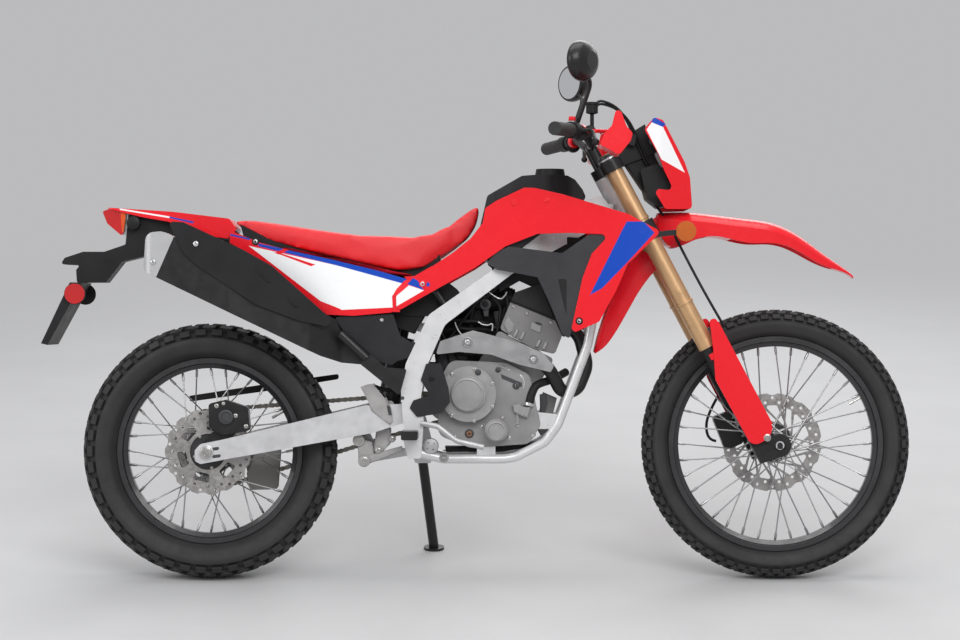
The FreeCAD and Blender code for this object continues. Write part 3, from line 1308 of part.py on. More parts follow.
def side_bodywork():
    shroud_shares = [
        (0.461, 0.701), (0.543, 0.751), (0.651, 0.816), (0.724, 0.871), (0.801, 0.903), (0.878, 0.905), (0.973, 0.900),
        (0.930, 0.851), (0.908, 0.788), (0.879, 0.643), (0.948, 0.676), (0.988, 0.755), (1.016, 0.824), (1.095, 0.907),
        (1.016, 0.953), (0.950, 0.975), (0.861, 1.005), (0.794, 1.022), (0.769, 1.023), (0.701, 0.989), (0.675, 0.970),
        (0.669, 0.932), (0.640, 0.892), (0.597, 0.855), (0.532, 0.809), (0.500, 0.788), (0.460, 0.742),
    ]
    shroud_plan_shares = [(0.44, 0.655), (0.56, 0.665), (0.68, 0.68), (0.80, 0.76), (0.92, 0.90), (1.02, 1.0), (1.12, 1.04)]
    cover_shares = [
        (0.680, 0.830), (0.703, 0.858), (0.733, 0.871), (0.860, 0.853), (0.924, 0.901), (0.973, 0.901), (0.931, 0.851),
        (0.909, 0.788), (0.878, 0.632), (0.860, 0.643), (0.835, 0.712), (0.801, 0.791), (0.703, 0.811),
    ]
    half = float(S.shroud_width) / 2
    shroud = shell(shroud_shares, shroud_plan_shares, half, S.panel_wall, SOFT)
    shroud_boss_share = (0.745, 0.985)
    cover_boss_share = (0.340, 0.818)
    boss = across(at(shroud_boss_share), S.boss_radius, S.tank_width * 0.4, half * 0.72)
    feature("tank_shrouds", both(fused(shroud, largest(trimmed(boss, "fuel_tank", LEFTWARD)))))
    step = float(S.panel_wall + S.running_gap) / half
    cover = shell(cover_shares, [(along, out - step) for along, out in shroud_plan_shares], half, S.panel_wall, FINE)
    feature("radiator_covers", both(cover))
    side_shares = [
        (0.053, 0.882), (0.111, 0.849), (0.202, 0.770), (0.292, 0.694), (0.357, 0.691), (0.452, 0.700), (0.450, 0.743),
        (0.490, 0.785), (0.417, 0.808), (0.309, 0.836), (0.202, 0.861), (0.132, 0.881), (0.056, 0.913),
    ]
    side_plan_shares = [(0.03, 0.62), (0.15, 0.80), (0.28, 0.96), (0.40, 1.0), (0.52, 1.0)]
    half = float(S.side_cover_width) / 2
    cover = shell(side_shares, side_plan_shares, half, S.panel_wall, FINE)
    boss = across(at(cover_boss_share), S.boss_radius, SUBFRAME_PLACE, half - S.panel_wall / 2)
    feature("side_covers", both(fused(cover, largest(trimmed(boss, "rear_subframe", LEFTWARD)))))
    panel_shares = [
        (0.310, 0.688), (0.452, 0.696), (0.470, 0.639), (0.515, 0.610), (0.510, 0.590), (0.462, 0.573),
        (0.449, 0.562), (0.415, 0.573), (0.330, 0.655),
    ]
    low = half - float(S.panel_wall) * 3
    left_panel, right_panel = both(slab(panel_shares, low, low + S.panel_wall, FINE))
    left_panel = largest(trimmed(left_panel, "main_frame", BACKWARD))
    right_panel = largest(trimmed(trimmed(right_panel, "main_frame", BACKWARD), "silencer", LEFTWARD))
    heel_shares = [
        (0.5327, 0.5673), (0.5684, 0.5673), (0.5861, 0.5049), (0.5906, 0.4666), (0.5684, 0.4379), (0.5104, 0.4282),
        (0.4925, 0.4522), (0.5015, 0.4714), (0.5416, 0.4857), (0.5192, 0.5241),
    ]
    heel_low = float(S.frame_width / 2 + S.running_gap)
    heel_guards = both(slab(heel_shares, heel_low, heel_low + S.panel_wall, FINE))
    feature("frame_guards", [left_panel, right_panel, *heel_guards])


def tail():
    fender_shares = [
        (-0.249, 0.976), (-0.086, 0.964), (0.051, 0.946), (0.070, 0.918), (0.050, 0.893), (-0.037, 0.905),
        (-0.098, 0.938), (-0.167, 0.951), (-0.247, 0.972),
    ]
    fender_plan_shares = [(-0.26, 0.55), (-0.10, 0.85), (0.10, 1.0)]
    lamp_shares = [(-0.262, 0.966), (-0.240, 0.9745), (-0.204, 0.9655), (-0.209, 0.917), (-0.213, 0.900), (-0.250, 0.934)]
    carrier_shares = [
        (-0.198, 0.9700), (-0.167, 0.9620), (-0.100, 0.9500), (-0.085, 0.903), (-0.140, 0.889), (-0.157, 0.849),
        (-0.214, 0.834), (-0.254, 0.779), (-0.325, 0.779), (-0.327, 0.812), (-0.317, 0.825), (-0.365, 0.827),
        (-0.355, 0.844), (-0.310, 0.860), (-0.258, 0.860), (-0.206, 0.879),
    ]
    plate_shares = [(-0.335, 0.7785), (-0.306, 0.7785), (-0.389, 0.615), (-0.405, 0.619)]
    half = float(S.fender_width) / 2
    fender = slab(fender_shares, -half, half, SOFT).common(plan_block(fender_plan_shares, half, ROUND))
    feature("rear_fender", [largest(trimmed(fender, "rear_subframe", UPWARD))])
    lamp = slab(lamp_shares, -half * 0.55, half * 0.55, FINE)
    feature("tail_light", [largest(trimmed(lamp, "rear_fender", DOWNWARD))])
    plate_half = float(S.plate_width) / 2
    carrier = slab(carrier_shares, -half * 0.5, half * 0.5, FINE)
    carrier = largest(trimmed(trimmed(carrier, "rear_fender", DOWNWARD), "tail_light", FORWARD))
    feature("plate_holder", [fused(carrier, slab(plate_shares, -plate_half, plate_half))])
    reflectors = []
    for side in (-1, 1):
        low = plate_half + S.running_gap if side > 0 else -plate_half - S.running_gap - S.lens_wall
        reflectors.append(across(at(REAR_REFLECTOR_SHARE), RISE * REFLECTOR_SHARE, low, low + S.lens_wall))
    feature("rear_reflectors", reflectors)


def foot_parts():
    half = float(S.frame_width) / 2
    peg_shares = [(0.474, 0.395), (0.514, 0.395), (0.514, 0.372), (0.474, 0.372)]
    length = float(S.peg_length)
    pegs = []
    for side in (-1, 1):
        low = half + S.running_gap if side > 0 else -half - S.running_gap - length
        pegs.append(slab(peg_shares, low, low + length, FINE))
    hanger_shares = [(0.4858, 0.5528), (0.4344, 0.5575), (0.3965, 0.5913), (0.3719, 0.5671), (0.4680, 0.4834)]
    pillion_shares = [(0.389, 0.581), (0.325, 0.645)]
    hanger_low = half + float(S.running_gap)
    hanger = slab(hanger_shares, hanger_low, hanger_low + S.lug_wall / 2, FINE)
    hanger_middle = hanger_low + float(S.lug_wall) / 4
    folded_peg = rod(at(pillion_shares[0], hanger_middle), at(pillion_shares[1], hanger_middle), S.pillion_peg_radius)
    pegs += both(fused(hanger, folded_peg))
    feature("foot_pegs", pegs)
    pedal_shares = [(0.520, 0.412, -1.05), (0.560, 0.405, -1.10), (0.607, 0.367, -1.19), (0.672, 0.351, -1.22)]
    shift_shares = [(0.640, 0.390, 0.48), (0.640, 0.390, 1.16), (0.735, 0.400, 1.24)]
    pedal = tube([at((a, b), half * c) for a, b, c in pedal_shares], S.pedal_radius, S.pedal_radius * 4)
    shift = tube([at((a, b), half * c) for a, b, c in shift_shares], S.pedal_radius, S.pedal_radius * 3)
    pedal = largest(trimmed(pedal, "main_frame", RIGHTWARD))
    shift = largest(trimmed(shift, "crankcase", LEFTWARD))
    feature("foot_controls", [pedal, shift])
    damper_shares = [(0.412, 0.335), (0.4800, 0.668)]
    low, top = (at(share) for share in damper_shares)
    spring = rod(low + (top - low) * 0.25, low + (top - low) * 0.9, S.spring_radius)
    damper = fused(rod(low, top, S.tube_slim), spring)
    feature("shock_absorber", [largest(trimmed(damper, "main_frame", DOWNWARD))])
    rocker_shares = [(0.363, 0.405), (0.378, 0.300), (0.408, 0.318), (0.408, 0.345), (0.380, 0.405)]
    arm_shares = [(0.366, 0.318), (0.366, 0.300), (0.498, 0.325), (0.498, 0.345)]
    rocker_half = float(S.spring_radius) * 0.66
    arm_wall = float(S.lug_wall) / 2
    rocker = slab(rocker_shares, -rocker_half, rocker_half, FINE)
    arm_sides = (-rocker_half - arm_wall * 0.9, rocker_half - arm_wall * 0.1)
    arms = [slab(arm_shares, side, side + arm_wall) for side in arm_sides]
    links = trimmed(fused(rocker, *arms), "shock_absorber", BACKWARD)
    links = trimmed(trimmed(links, "swingarm", DOWNWARD), "frame_cradle", BACKWARD)
    feature("suspension_links", [largest(links)])


def leaned_floor():
    """The floor's height under the machine, in the leaned frame, as a point below each wheel."""
    lowest = []
    for thing, home in nodes:
        if thing.Label in ("rear_tyre", "front_tyre"):
            leaned = thing.Shape.copy()
            leaned.Placement = Placement(Vector(), LEAN).multiply(home)
            lowest.append(leaned.optimalBoundingBox(False).ZMin)
    return lowest


def stand_places():
    """The stand's pivot and the middle of its foot, in the upright frame."""
    lean = math.radians(S.lean_angle)
    pivot = at(STAND_PIVOT_SHARE, float(S.frame_width / 2 + S.stand_pivot_out))
    ahead = REACH * STAND_FOOT_SHARE
    front_low, rear_low = leaned_floor()
    floor = rear_low + (front_low - rear_low) * ahead / float(S.wheelbase)
    left = float(S.frame_width / 2 + S.stand_foot_out)
    return pivot, Vector(ahead, left, left * math.tan(lean) + floor / math.cos(lean) + S.stand_foot_wall / 2)


def stand_axis(pivot, foot):
    """The hinge turns the leg from the floor to lie back along the swingarm."""
    return (foot - pivot).cross(Vector(*FOLDED_SHARES)).normalize()


def side_stand():
    """A leg on the left whose foot meets the ground once the machine leans."""
    lean = math.radians(S.lean_angle)
    pivot, foot = stand_places()
    hinge = stand_axis(pivot, foot)
    eye_half = S.stand_eye_length / 2
    eye = Part.makeCylinder(S.stand_eye_radius, eye_half * 2, pivot - hinge * float(eye_half), hinge)
    bar_end = foot + (pivot - foot).normalize() * float(S.stand_foot_wall / 2)
    bar = rod(pivot, bar_end, S.stand_radius)
    sole_normal = Vector(0, -math.sin(lean), math.cos(lean))
    sole_low = foot - sole_normal * float(S.stand_foot_wall / 2)
    sole = Part.makeCylinder(S.stand_foot_radius, S.stand_foot_wall, sole_low, sole_normal)
    bore = Part.makeCylinder(S.stand_pin_radius + S.axle_gap, eye_half * 4, pivot - hinge * float(eye_half * 2), hinge)
    feature("side_stand", [fused(bar, eye, sole).cut(bore)])


wheels()
front_fork()
front_brake()
handlebar()
mirrors()
front_bodywork()
engine()
frame()
exhaust()
subframe()
swingarm()
drive_chain()
rear_brake()
tank_and_seat()
side_bodywork()
tail()
foot_parts()
side_stand()
doc.recompute()

# Parking: the machine leans to the left on its stand, and the box's bottom centre is the origin.
whole = FreeCAD.BoundBox()
for thing, home in nodes:
    leaned = thing.Shape.copy()
    leaned.Placement = Placement(Vector(), LEAN).multiply(home)
    whole.add(leaned.optimalBoundingBox(False))
PARKED = Placement(Vector(-whole.Center.x, -whole.Center.y, -whole.ZMin), LEAN)
for thing, home in nodes:
    thing.Placement = PARKED.multiply(home)
doc.recompute()

os.makedirs("parts", exist_ok=True)
for thing, home in nodes:
    if "Invalid" in thing.State or "Error" in thing.State:
        raise RuntimeError(f"{thing.Label} did not build")
    if thing.Shape.isNull() or not thing.Shape.isValid():
        raise RuntimeError(f"{thing.Label} has no valid shape")
for thing, home in nodes:
    thing.Shape.exportStep(f"parts/{thing.Label}.step")
print("nodes", len(nodes), "placed", PARKED.Base)
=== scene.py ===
import math

import bmesh
import bpy
from mathutils import Matrix, Vector
from mathutils.bvhtree import BVHTree


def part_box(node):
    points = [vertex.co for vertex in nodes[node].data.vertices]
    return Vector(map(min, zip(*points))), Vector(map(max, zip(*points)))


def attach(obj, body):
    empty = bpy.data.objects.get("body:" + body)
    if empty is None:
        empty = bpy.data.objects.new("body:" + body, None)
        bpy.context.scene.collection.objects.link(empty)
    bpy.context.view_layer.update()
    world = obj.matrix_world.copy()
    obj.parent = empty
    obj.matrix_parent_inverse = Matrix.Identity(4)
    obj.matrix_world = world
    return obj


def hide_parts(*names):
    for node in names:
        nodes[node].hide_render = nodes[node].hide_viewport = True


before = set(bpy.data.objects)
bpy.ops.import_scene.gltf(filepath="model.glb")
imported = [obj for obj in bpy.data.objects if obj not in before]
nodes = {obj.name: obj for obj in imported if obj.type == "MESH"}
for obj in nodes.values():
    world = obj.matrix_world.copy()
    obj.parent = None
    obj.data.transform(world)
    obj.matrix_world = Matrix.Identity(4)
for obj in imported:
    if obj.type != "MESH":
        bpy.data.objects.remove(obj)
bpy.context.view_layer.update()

# The machine is described upright, in millimetres, and PARK leans it onto its stand.
LEAN_ANGLE = math.radians(11)
LEAN = Matrix.Rotation(-LEAN_ANGLE, 4, "X")
REAR_RADIUS, FRONT_RADIUS, WHEELBASE = 327, 345, 1455
AXLE_R, AXLE_F = Vector((0, 0, REAR_RADIUS)), Vector((WHEELBASE, 0, FRONT_RADIUS))
low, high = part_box("rear_tyre")
BASE = (low + high) / 2 - LEAN @ (AXLE_R / 1000)
PARK = Matrix.Translation(BASE) @ LEAN @ Matrix.Scale(0.001, 4)
UPRIGHT = PARK.inverted()
FORK_FOOT, RAKE_ANGLE = (1397.55, 0, 314.58), math.radians(27.9)
FORK = Matrix.Translation(FORK_FOOT) @ Matrix.Rotation(-RAKE_ANGLE, 4, "Y")
FLIP = Vector((1, -1, 1))
LEFT = (0, 1, 0)

# The photograph: what lies at its middle pixel, the camera's distance, and millimetres to a pixel there
LOOK_X, LOOK_Z, AWAY, SCALE = 694.2, 663.2, 7000, 2.5806
MIDDLE_X, MIDDLE_Y = 480, 320


def px(x, y, w=0.0):
    """The place on the machine, w to the right of its middle, that the photograph shows at a pixel."""
    k = SCALE * (AWAY - w) / AWAY
    return Vector((LOOK_X + (x - MIDDLE_X) * k, -w, LOOK_Z + (MIDDLE_Y - y) * k))


# Shaders

class Shader:
    """A small wrapper that adds nodes and links them."""

    def __init__(self, name):
        self.mat = bpy.data.materials.new(name)
        self.mat.use_nodes = True
        self.tree = self.mat.node_tree
        self.tree.nodes.clear()
        self.out = self.add("ShaderNodeOutputMaterial")
        self.bsdf = self.add("ShaderNodeBsdfPrincipled")
        self.put(self.out.inputs[0], self.bsdf.outputs[0])
        self.coord = self.add("ShaderNodeTexCoord").outputs["Object"]

    def add(self, kind, **values):
        node = self.tree.nodes.new(kind)
        for key, value in values.items():
            setattr(node, key, value)
        return node

    def put(self, socket, value):
        if isinstance(value, bpy.types.NodeSocket):
            self.tree.links.new(value, socket)
        else:
            socket.default_value = value

    def fill(self, node, *values):
        """Gives a node's first inputs in order."""
        for socket, value in zip(node.inputs, values):
            self.put(socket, value)
        return node.outputs[0]

    def math(self, operation, a, b):
        return self.fill(self.add("ShaderNodeMath", operation=operation), a, b)

    def noise(self, scale, detail=3.0, rough=0.55):
        node = self.add("ShaderNodeTexNoise")
        self.put(node.inputs["Vector"], self.coord)
        node.inputs["Scale"].default_value = scale
        node.inputs["Detail"].default_value = detail
        node.inputs["Roughness"].default_value = rough
        return node.outputs["Fac"]

    def remap(self, value, low, high, start=0.3, stop=0.7):
        return self.fill(self.add("ShaderNodeMapRange"), value, start, stop, low, high)

    def mix(self, factor, a, b):
        node = self.add("ShaderNodeMix", data_type="RGBA")
        for index, value in ((0, factor), (6, a), (7, b)):
            self.put(node.inputs[index], value)
        return node.outputs[2]

    def upright(self):
        """The place on the upright machine, in metres."""
        node = self.add("ShaderNodeMapping", vector_type="POINT")
        self.put(node.inputs["Vector"], self.coord)
        node.inputs["Rotation"].default_value = (LEAN_ANGLE, 0, 0)
        node.inputs["Location"].default_value = -(LEAN.inverted() @ BASE)
        return node.outputs[0]

    def zone(self, place, corners, soft=0.0006):
        """1 inside a convex outline seen from the side, 0 outside it."""
        points = [Vector((p.x, p.z)) / 1000 for p in corners]
        area = sum(a.x * b.y - b.x * a.y for a, b in zip(points, points[1:] + points[:1]))
        if area < 0:
            points.reverse()
        depth = None
        for a, b in zip(points, points[1:] + points[:1]):
            along = (b - a).normalized()
            inward = Vector((-along.y, along.x))
            dot = self.add("ShaderNodeVectorMath", operation="DOT_PRODUCT")
            self.put(dot.inputs[0], place)
            dot.inputs[1].default_value = (inward.x, 0, inward.y)
            edge = self.math("SUBTRACT", dot.outputs["Value"], inward.dot(a))
            depth = edge if depth is None else self.math("MINIMUM", depth, edge)
        return self.remap(depth, 0.0, 1.0, -soft, soft)

    def bump(self, height, strength, distance, normal=None):
        node = self.add("ShaderNodeBump")
        node.inputs["Strength"].default_value = strength
        node.inputs["Distance"].default_value = distance
        self.put(node.inputs["Height"], height)
        if normal is not None:
            self.put(node.inputs["Normal"], normal)
        return node.outputs[0]

    def rounded(self, radius):
        return self.fill(self.add("ShaderNodeBevel", samples=3), radius)


def shade(name, color, rough, metal=0.0, vary=0.12, grain=None, edge=0.0012, spread=0.08, coat=0.0,
          scale=9.0, **inputs):
    """A finish whose colour and gloss wander a little, with its own grain: (scale, strength, distance)."""
    s = Shader(name)
    dark = tuple(c * (1 - vary) for c in color) + (1,)
    light = tuple(min(1, c * (1 + vary * 0.5)) for c in color) + (1,)
    s.color = s.mix(s.remap(s.noise(scale, 4.0), 0, 1), dark, light)
    s.put(s.bsdf.inputs["Base Color"], s.color)
    s.put(s.bsdf.inputs["Roughness"], s.remap(s.noise(scale * 4), max(0.03, rough - spread), rough + spread))
    for key, value in dict(Metallic=metal, Coat_Weight=coat, Coat_Roughness=0.06, **inputs).items():
        s.bsdf.inputs[key.replace("_", " ")].default_value = value
    normal = s.rounded(edge) if edge else None
    if grain:
        normal = s.bump(s.noise(grain[0], 3.0, 0.6), grain[1], grain[2], normal)
    if normal is not None:
        s.put(s.bsdf.inputs["Normal"], normal)
    return s


M = {}


def look(key, name, slot, solids, color, rough, **values):
    """A finish by its short key: its material and the solids that wear it as they are; the record's slot is
    not used.
    """
    M[key] = shade(name, color, rough, **values)
    for node in solids.split():
        nodes[node].data.materials.clear()
        nodes[node].data.materials.append(M[key].mat)


# Finishes: key, material, slot, solids, colour and roughness
RED = (0.78, 0.011, 0.020)
BLUE = (0.004, 0.060, 0.45)
WHITE = (0.88, 0.885, 0.895)
BLACK = (0.014, 0.014, 0.015)
NEAR_BLACK = (0.022, 0.022, 0.024)
HEAD_GREY = (0.22, 0.215, 0.215)
RED_GLASS = (0.60, 0.010, 0.012)
CAP_SILVER = (0.46, 0.46, 0.47)
STRIP_AMBER = (0.85, 0.10, 0.006)
GUIDE_GREY = (0.26, 0.25, 0.24)
PAINTED = {"vary": 0.03, "spread": 0.035, "coat": 0.12, "edge": 0.0018, "Specular_IOR_Level": 0.3}
MOULDED = {"grain": (900, 0.45, 0.0003), "edge": 0.0014, "Specular_IOR_Level": 0.2}
GLASSY = {"grain": (240, 0.30, 0.0008), "coat": 0.5}
CAST = {"metal": 0.4, "grain": (480, 0.42, 0.0004), "scale": 18}
look("rubber", "tyre_rubber", "tyre_rubber", "front_tyre rear_tyre", (0.021, 0.021, 0.022), 0.70, vary=0.35,
     grain=(420, 0.35, 0.0004), edge=0, scale=14)
look("rim", "rim_black", "black_rim", "front_rim rear_rim", NEAR_BLACK, 0.34, vary=0.25, coat=0.25)
look("hub", "hub_black", "dark_hub", "front_hub rear_hub", (0.030, 0.030, 0.032), 0.38, vary=0.3,
     grain=(260, 0.15, 0.0004))
look("spoke", "spoke_steel", "disc_steel", "", (0.38, 0.38, 0.385), 0.45, metal=1.0, vary=0.2, edge=0)
look("disc", "disc_steel", "disc_steel", "front_disc rear_disc rear_sprocket front_sprocket",
     (0.42, 0.405, 0.395), 0.34, metal=0.9, vary=0.22, edge=0.0004, spread=0.12, scale=30)
look("chain", "chain_steel", "chain_steel", "drive_chain", (0.23, 0.215, 0.19), 0.38, metal=1.0, vary=0.4,
     edge=0, scale=60)
look("gold", "gold_fork", "gold_fork", "fork_tubes", (0.60, 0.37, 0.19), 0.34, metal=0.55,
     grain=(300, 0.06, 0.0003))
look("foot", "foot_black", "cast_aluminium", "fork_legs", (0.020, 0.020, 0.021), 0.40, metal=0.2, vary=0.2,
     grain=(520, 0.25, 0.0003), scale=18, Specular_IOR_Level=0.3)
look("alloy", "cast_alloy", "cast_aluminium", "suspension_links front_axle rear_axle foot_controls",
     (0.50, 0.50, 0.505), 0.42, metal=0.6, vary=0.18, grain=(520, 0.30, 0.0003), scale=20)
look("frame", "frame_silver", "frame_silver", "main_frame frame_cradle", (0.66, 0.66, 0.665), 0.34,
     metal=0.3, vary=0.06, grain=(700, 0.10, 0.0002), coat=0.15)
look("arm", "arm_silver", "cast_aluminium", "swingarm", (0.60, 0.60, 0.61), 0.38, metal=0.45, vary=0.10,
     grain=(600, 0.20, 0.0002), scale=12)
look("engine", "engine_cast", "engine_grey", "crankcase", (0.27, 0.265, 0.265), 0.50, vary=0.18, **CAST)
look("cover", "cover_cast", "engine_grey", "engine_covers", (0.31, 0.305, 0.305), 0.44, metal=0.4,
     vary=0.14, grain=(520, 0.25, 0.0003), scale=16)
look("casting", "grey_casting", "cast_aluminium", "", (0.38, 0.37, 0.365), 0.46, metal=0.5, vary=0.2,
     grain=(500, 0.35, 0.0003), scale=18)
look("head", "head_cast", "engine_grey", "", HEAD_GREY, 0.50, vary=0.2, **CAST)
look("head_top", "head_painted", "engine_grey", "cylinder_head", HEAD_GREY, 0.50, vary=0.2, **CAST)
look("shield", "shield_steel", "cast_aluminium", "header_shield", (0.36, 0.355, 0.36), 0.36, metal=0.75,
     vary=0.15, grain=(300, 0.10, 0.0003))
# A dark finish for dark parts; it is also worn by the plates that paint the shade in the case's recess and in
# the adjusters' slots
look("dark_case", "case_dark", "engine_grey", "", (0.055, 0.056, 0.06), 0.46, metal=0.3, vary=0.25,
     grain=(420, 0.3, 0.0003))
look("red", "red_plastic", "red_plastic", "front_fender fork_guards hand_guards", RED, 0.26,
     grain=(160, 0.03, 0.0003), **PAINTED)
look("shroud", "shroud_red", "red_plastic", "tank_shrouds", RED, 0.26, **PAINTED)
look("side", "side_red", "white_plastic", "side_covers", RED, 0.26, **PAINTED)
look("cowl", "cowl_red", "red_plastic", "headlight_cowl", RED, 0.26, **PAINTED)
look("tail", "tail_red", "red_plastic", "rear_fender", RED, 0.26, **PAINTED)
look("black", "black_plastic", "black_plastic",
     "fuel_cap plate_holder meter intake silencer_guard hand_controls headlight_housing", BLACK, 0.50,
     vary=0.3, **MOULDED)
look("guide", "guide_plastic", "black_plastic", "chain_guards", BLACK, 0.50, vary=0.3, **MOULDED)
look("grey", "grey_plastic", "black_plastic", "fuel_tank frame_guards", NEAR_BLACK, 0.44, vary=0.2, **MOULDED)
look("soft_grey", "soft_grey_plastic", "black_plastic", "radiator_covers", (0.036, 0.036, 0.039), 0.44,
     vary=0.2, grain=(900, 0.4, 0.0003), edge=0.0014, Specular_IOR_Level=0.3)
look("steel", "black_steel", "black_steel",
     "exhaust_header rear_subframe handlebar mirrors side_stand shock_absorber radiator rear_caliper "
     "front_caliper foot_pegs fork_clamps", (0.018, 0.018, 0.019), 0.36, metal=0.2, vary=0.3,
     grain=(600, 0.12, 0.0003), coat=0.08, Specular_IOR_Level=0.35)
look("silencer", "silencer_black", "black_steel", "silencer", (0.020, 0.020, 0.021), 0.36, metal=0.3,
     vary=0.3, grain=(600, 0.12, 0.0003), Specular_IOR_Level=0.4)
look("grip", "grip_rubber", "grip_rubber", "grips", (0.022, 0.022, 0.022), 0.75, vary=0.2,
     grain=(700, 0.5, 0.0006))
look("bolt", "bolt_zinc", "disc_steel", "", (0.48, 0.47, 0.45), 0.30, metal=0.9, vary=0.25, edge=0.0004,
     scale=80)
look("rivet", "cap_silver", "disc_steel", "", (0.58, 0.58, 0.59), 0.30, metal=0.8, edge=0.0008)
look("copper", "copper_plug", "gold_fork", "", (0.55, 0.26, 0.14), 0.34, metal=0.9, vary=0.2, edge=0.0004)
look("red_lens", "red_lens", "red_lens", "rear_reflectors", RED_GLASS, 0.12, **GLASSY,
     Transmission_Weight=0.2)
look("tail_lens", "tail_lens", "red_lens", "tail_light", RED_GLASS, 0.12, Transmission_Weight=0.15, **GLASSY)
look("amber", "amber_lens", "amber_lens", "front_reflectors", (0.62, 0.13, 0.006), 0.14, vary=0.10,
     Transmission_Weight=0.2, **GLASSY)
look("clear", "clear_lens", "clear_lens", "headlight", (0.86, 0.88, 0.90), 0.05, vary=0.02, edge=0.0008,
     coat=0.5, Transmission_Weight=0.75)
look("mirror", "mirror_glass", "clear_lens", "", (0.80, 0.82, 0.84), 0.03, metal=1.0, vary=0.02,
     spread=0.01, edge=0)
look("seat", "seat_vinyl", "seat_vinyl", "seat", (0.70, 0.012, 0.018), 0.44, vary=0.06, edge=0)

# The seat's leather grain: small cells with soft folds
LEATHER_SCALE = 620
s = M["seat"]
cells = s.add("ShaderNodeTexVoronoi", feature="DISTANCE_TO_EDGE")
s.put(cells.inputs["Vector"], s.coord)
cells.inputs["Scale"].default_value = LEATHER_SCALE
s.put(s.bsdf.inputs["Normal"], s.bump(s.remap(cells.outputs["Distance"], 0, 1, 0, 0.25), 0.35, 0.0003))

# Fields of colour on a finish: tint, how far right the surface lies, and convex outlines in pixels
FIELDS = {
    "shroud": (
        (BLUE, 195, ((590, 295), (622, 230), (626.6, 221.7), (643.4, 221.7), (654, 233), (625.2, 264.5),
                     (602, 288.4))),
        (WHITE, 128, ((396, 296.5), (409, 285.4), (424, 290.4), (396.3, 306.5))),
        (BLUE, 128, ((404, 283), (412.9, 277.6), (418.2, 281), (424, 290.2))),
        (BLUE, 128, ((427.6, 281.4), (430.4, 284.5), (428.7, 286.8), (426, 286)))),
    "side": (
        (WHITE, 125, ((248, 245.6), (338, 265.6), (343, 309.9), (320.5, 301)),
         ((336, 265.2), (409, 284.4), (394.3, 294.8), (336, 294.8)),
         ((336, 290), (394, 294), (395.5, 307.3), (341, 309.9))),
        (BLUE, 125, ((257.5, 243), (340, 260.8), (340, 266.2), (257.5, 246)),
         ((338, 260.4), (413, 277.8), (413, 286.4), (338, 265.7)),
         ((192, 224.8), (249.2, 238), (249.2, 239.8), (192, 226.8))),
        (RED, 125, ((273, 252), (279, 252.6), (315.5, 264.6), (311, 266.2)),
         ((274, 252.8), (287, 247), (291.5, 248), (279, 254.5)))),
    "silencer": ((CAP_SILVER, 200, ((135, 225), (163, 231.8), (173.7, 235.6), (155.5, 277.1), (135, 270))),),
    "tail_lens": ((STRIP_AMBER, 60, ((119.6, 211), (127, 212), (127, 232), (121, 232))),),
    "cowl": (
        (WHITE, 100, ((652, 121.8), (662.3, 126.4), (685.3, 172.3), (661.2, 159.7), (646.3, 129.9))),
        (BLUE, 100, ((653.2, 117), (666, 124.5), (662.3, 127.2), (651, 122.6)))),
    "head_top": ((BLACK, 60, ((505, 299.2), (560, 323), (575, 300), (520, 270))),),
    "tail": (
        (WHITE, 100, ((117, 207.6), (168, 215.9), (168, 217.6), (117, 209.0))),
        (BLUE, 100, ((168, 215.9), (192, 221), (192, 223), (168, 217.6)))),
    "amber": ((BLACK, 122, ((640, 222), (676.2, 224), (676.2, 241), (640, 243))),),
    "guide": ((GUIDE_GREY, -50, ((230, 435), (300, 435), (300, 505), (230, 505))),),
}
for key, fields in FIELDS.items():
    s = M[key]
    place = s.upright()
    for tint, depth, *outlines in fields:
        masks = [s.zone(place, [px(*p, depth) for p in outline]) for outline in outlines]
        whole = masks[0]
        for mask in masks[1:]:
            whole = s.math("MAXIMUM", whole, mask)
        s.color = s.mix(whole, s.color, (*tint, 1))
    s.put(s.bsdf.inputs["Base Color"], s.color)


# Making pieces

def add_object(name, data):
    obj = bpy.data.objects.new(name, data)
    bpy.context.scene.collection.objects.link(obj)
    return obj


def piece(name, bm, finish, body, replaces=(), angle=35):
    """A mesh given upright in millimetres becomes a parked piece that rides on a body."""
    bm.transform(PARK)
    bmesh.ops.recalc_face_normals(bm, faces=bm.faces)
    data = bpy.data.meshes.new(name)
    bm.to_mesh(data)
    bm.free()
    data.shade_smooth()
    data.set_sharp_from_angle(angle=math.radians(angle))
    data.materials.append(M[finish].mat)
    obj = add_object(name, data)
    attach(obj, body)
    if replaces:
        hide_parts(*replaces)


def quads(bm, one, two, span):
    """Faces between two rows of vertices, one after the other; rows close where the span says so."""
    for k in range(span):
        n = (k + 1) % len(one)
        bm.faces.new((one[k], one[n], two[n], two[k]))


def lathe(bm, profile, count, centre, closed=False):
    """Turns (left, radius) pairs about a line across the machine."""
    rings = []
    for k in range(count):
        a = 2 * math.pi * k / count
        c, d = math.cos(a), math.sin(a)
        rings.append([bm.verts.new(centre + Vector((r * c, y, r * d))) for y, r in profile])
    for k in range(count):
        quads(bm, rings[k], rings[(k + 1) % count], len(profile) - (not closed))


def axes_for(direction):
    """A direction's unit vector and two directions square to it."""
    d = Vector(direction).normalized()
    u = d.cross(Vector((0, 0, 1)) if abs(d.z) < 0.9 else Vector((1, 0, 0))).normalized()
    return d, u, d.cross(u)


def spin(bm, start, direction, profile, count=12, cap=True):
    """A turned piece from (along, radius) pairs, along any direction."""
    d, u, v = axes_for(direction)
    turns = [2 * math.pi * k / count for k in range(count)]
    outward = [u * math.cos(a) + v * math.sin(a) for a in turns]
    rings = [[bm.verts.new(Vector(start) + d * along + out * radius) for out in outward]
             for along, radius in profile]
    for one, two in zip(rings, rings[1:]):
        quads(bm, one, two, count)
    if cap:
        bm.faces.new(rings[0])
        bm.faces.new(rings[-1])


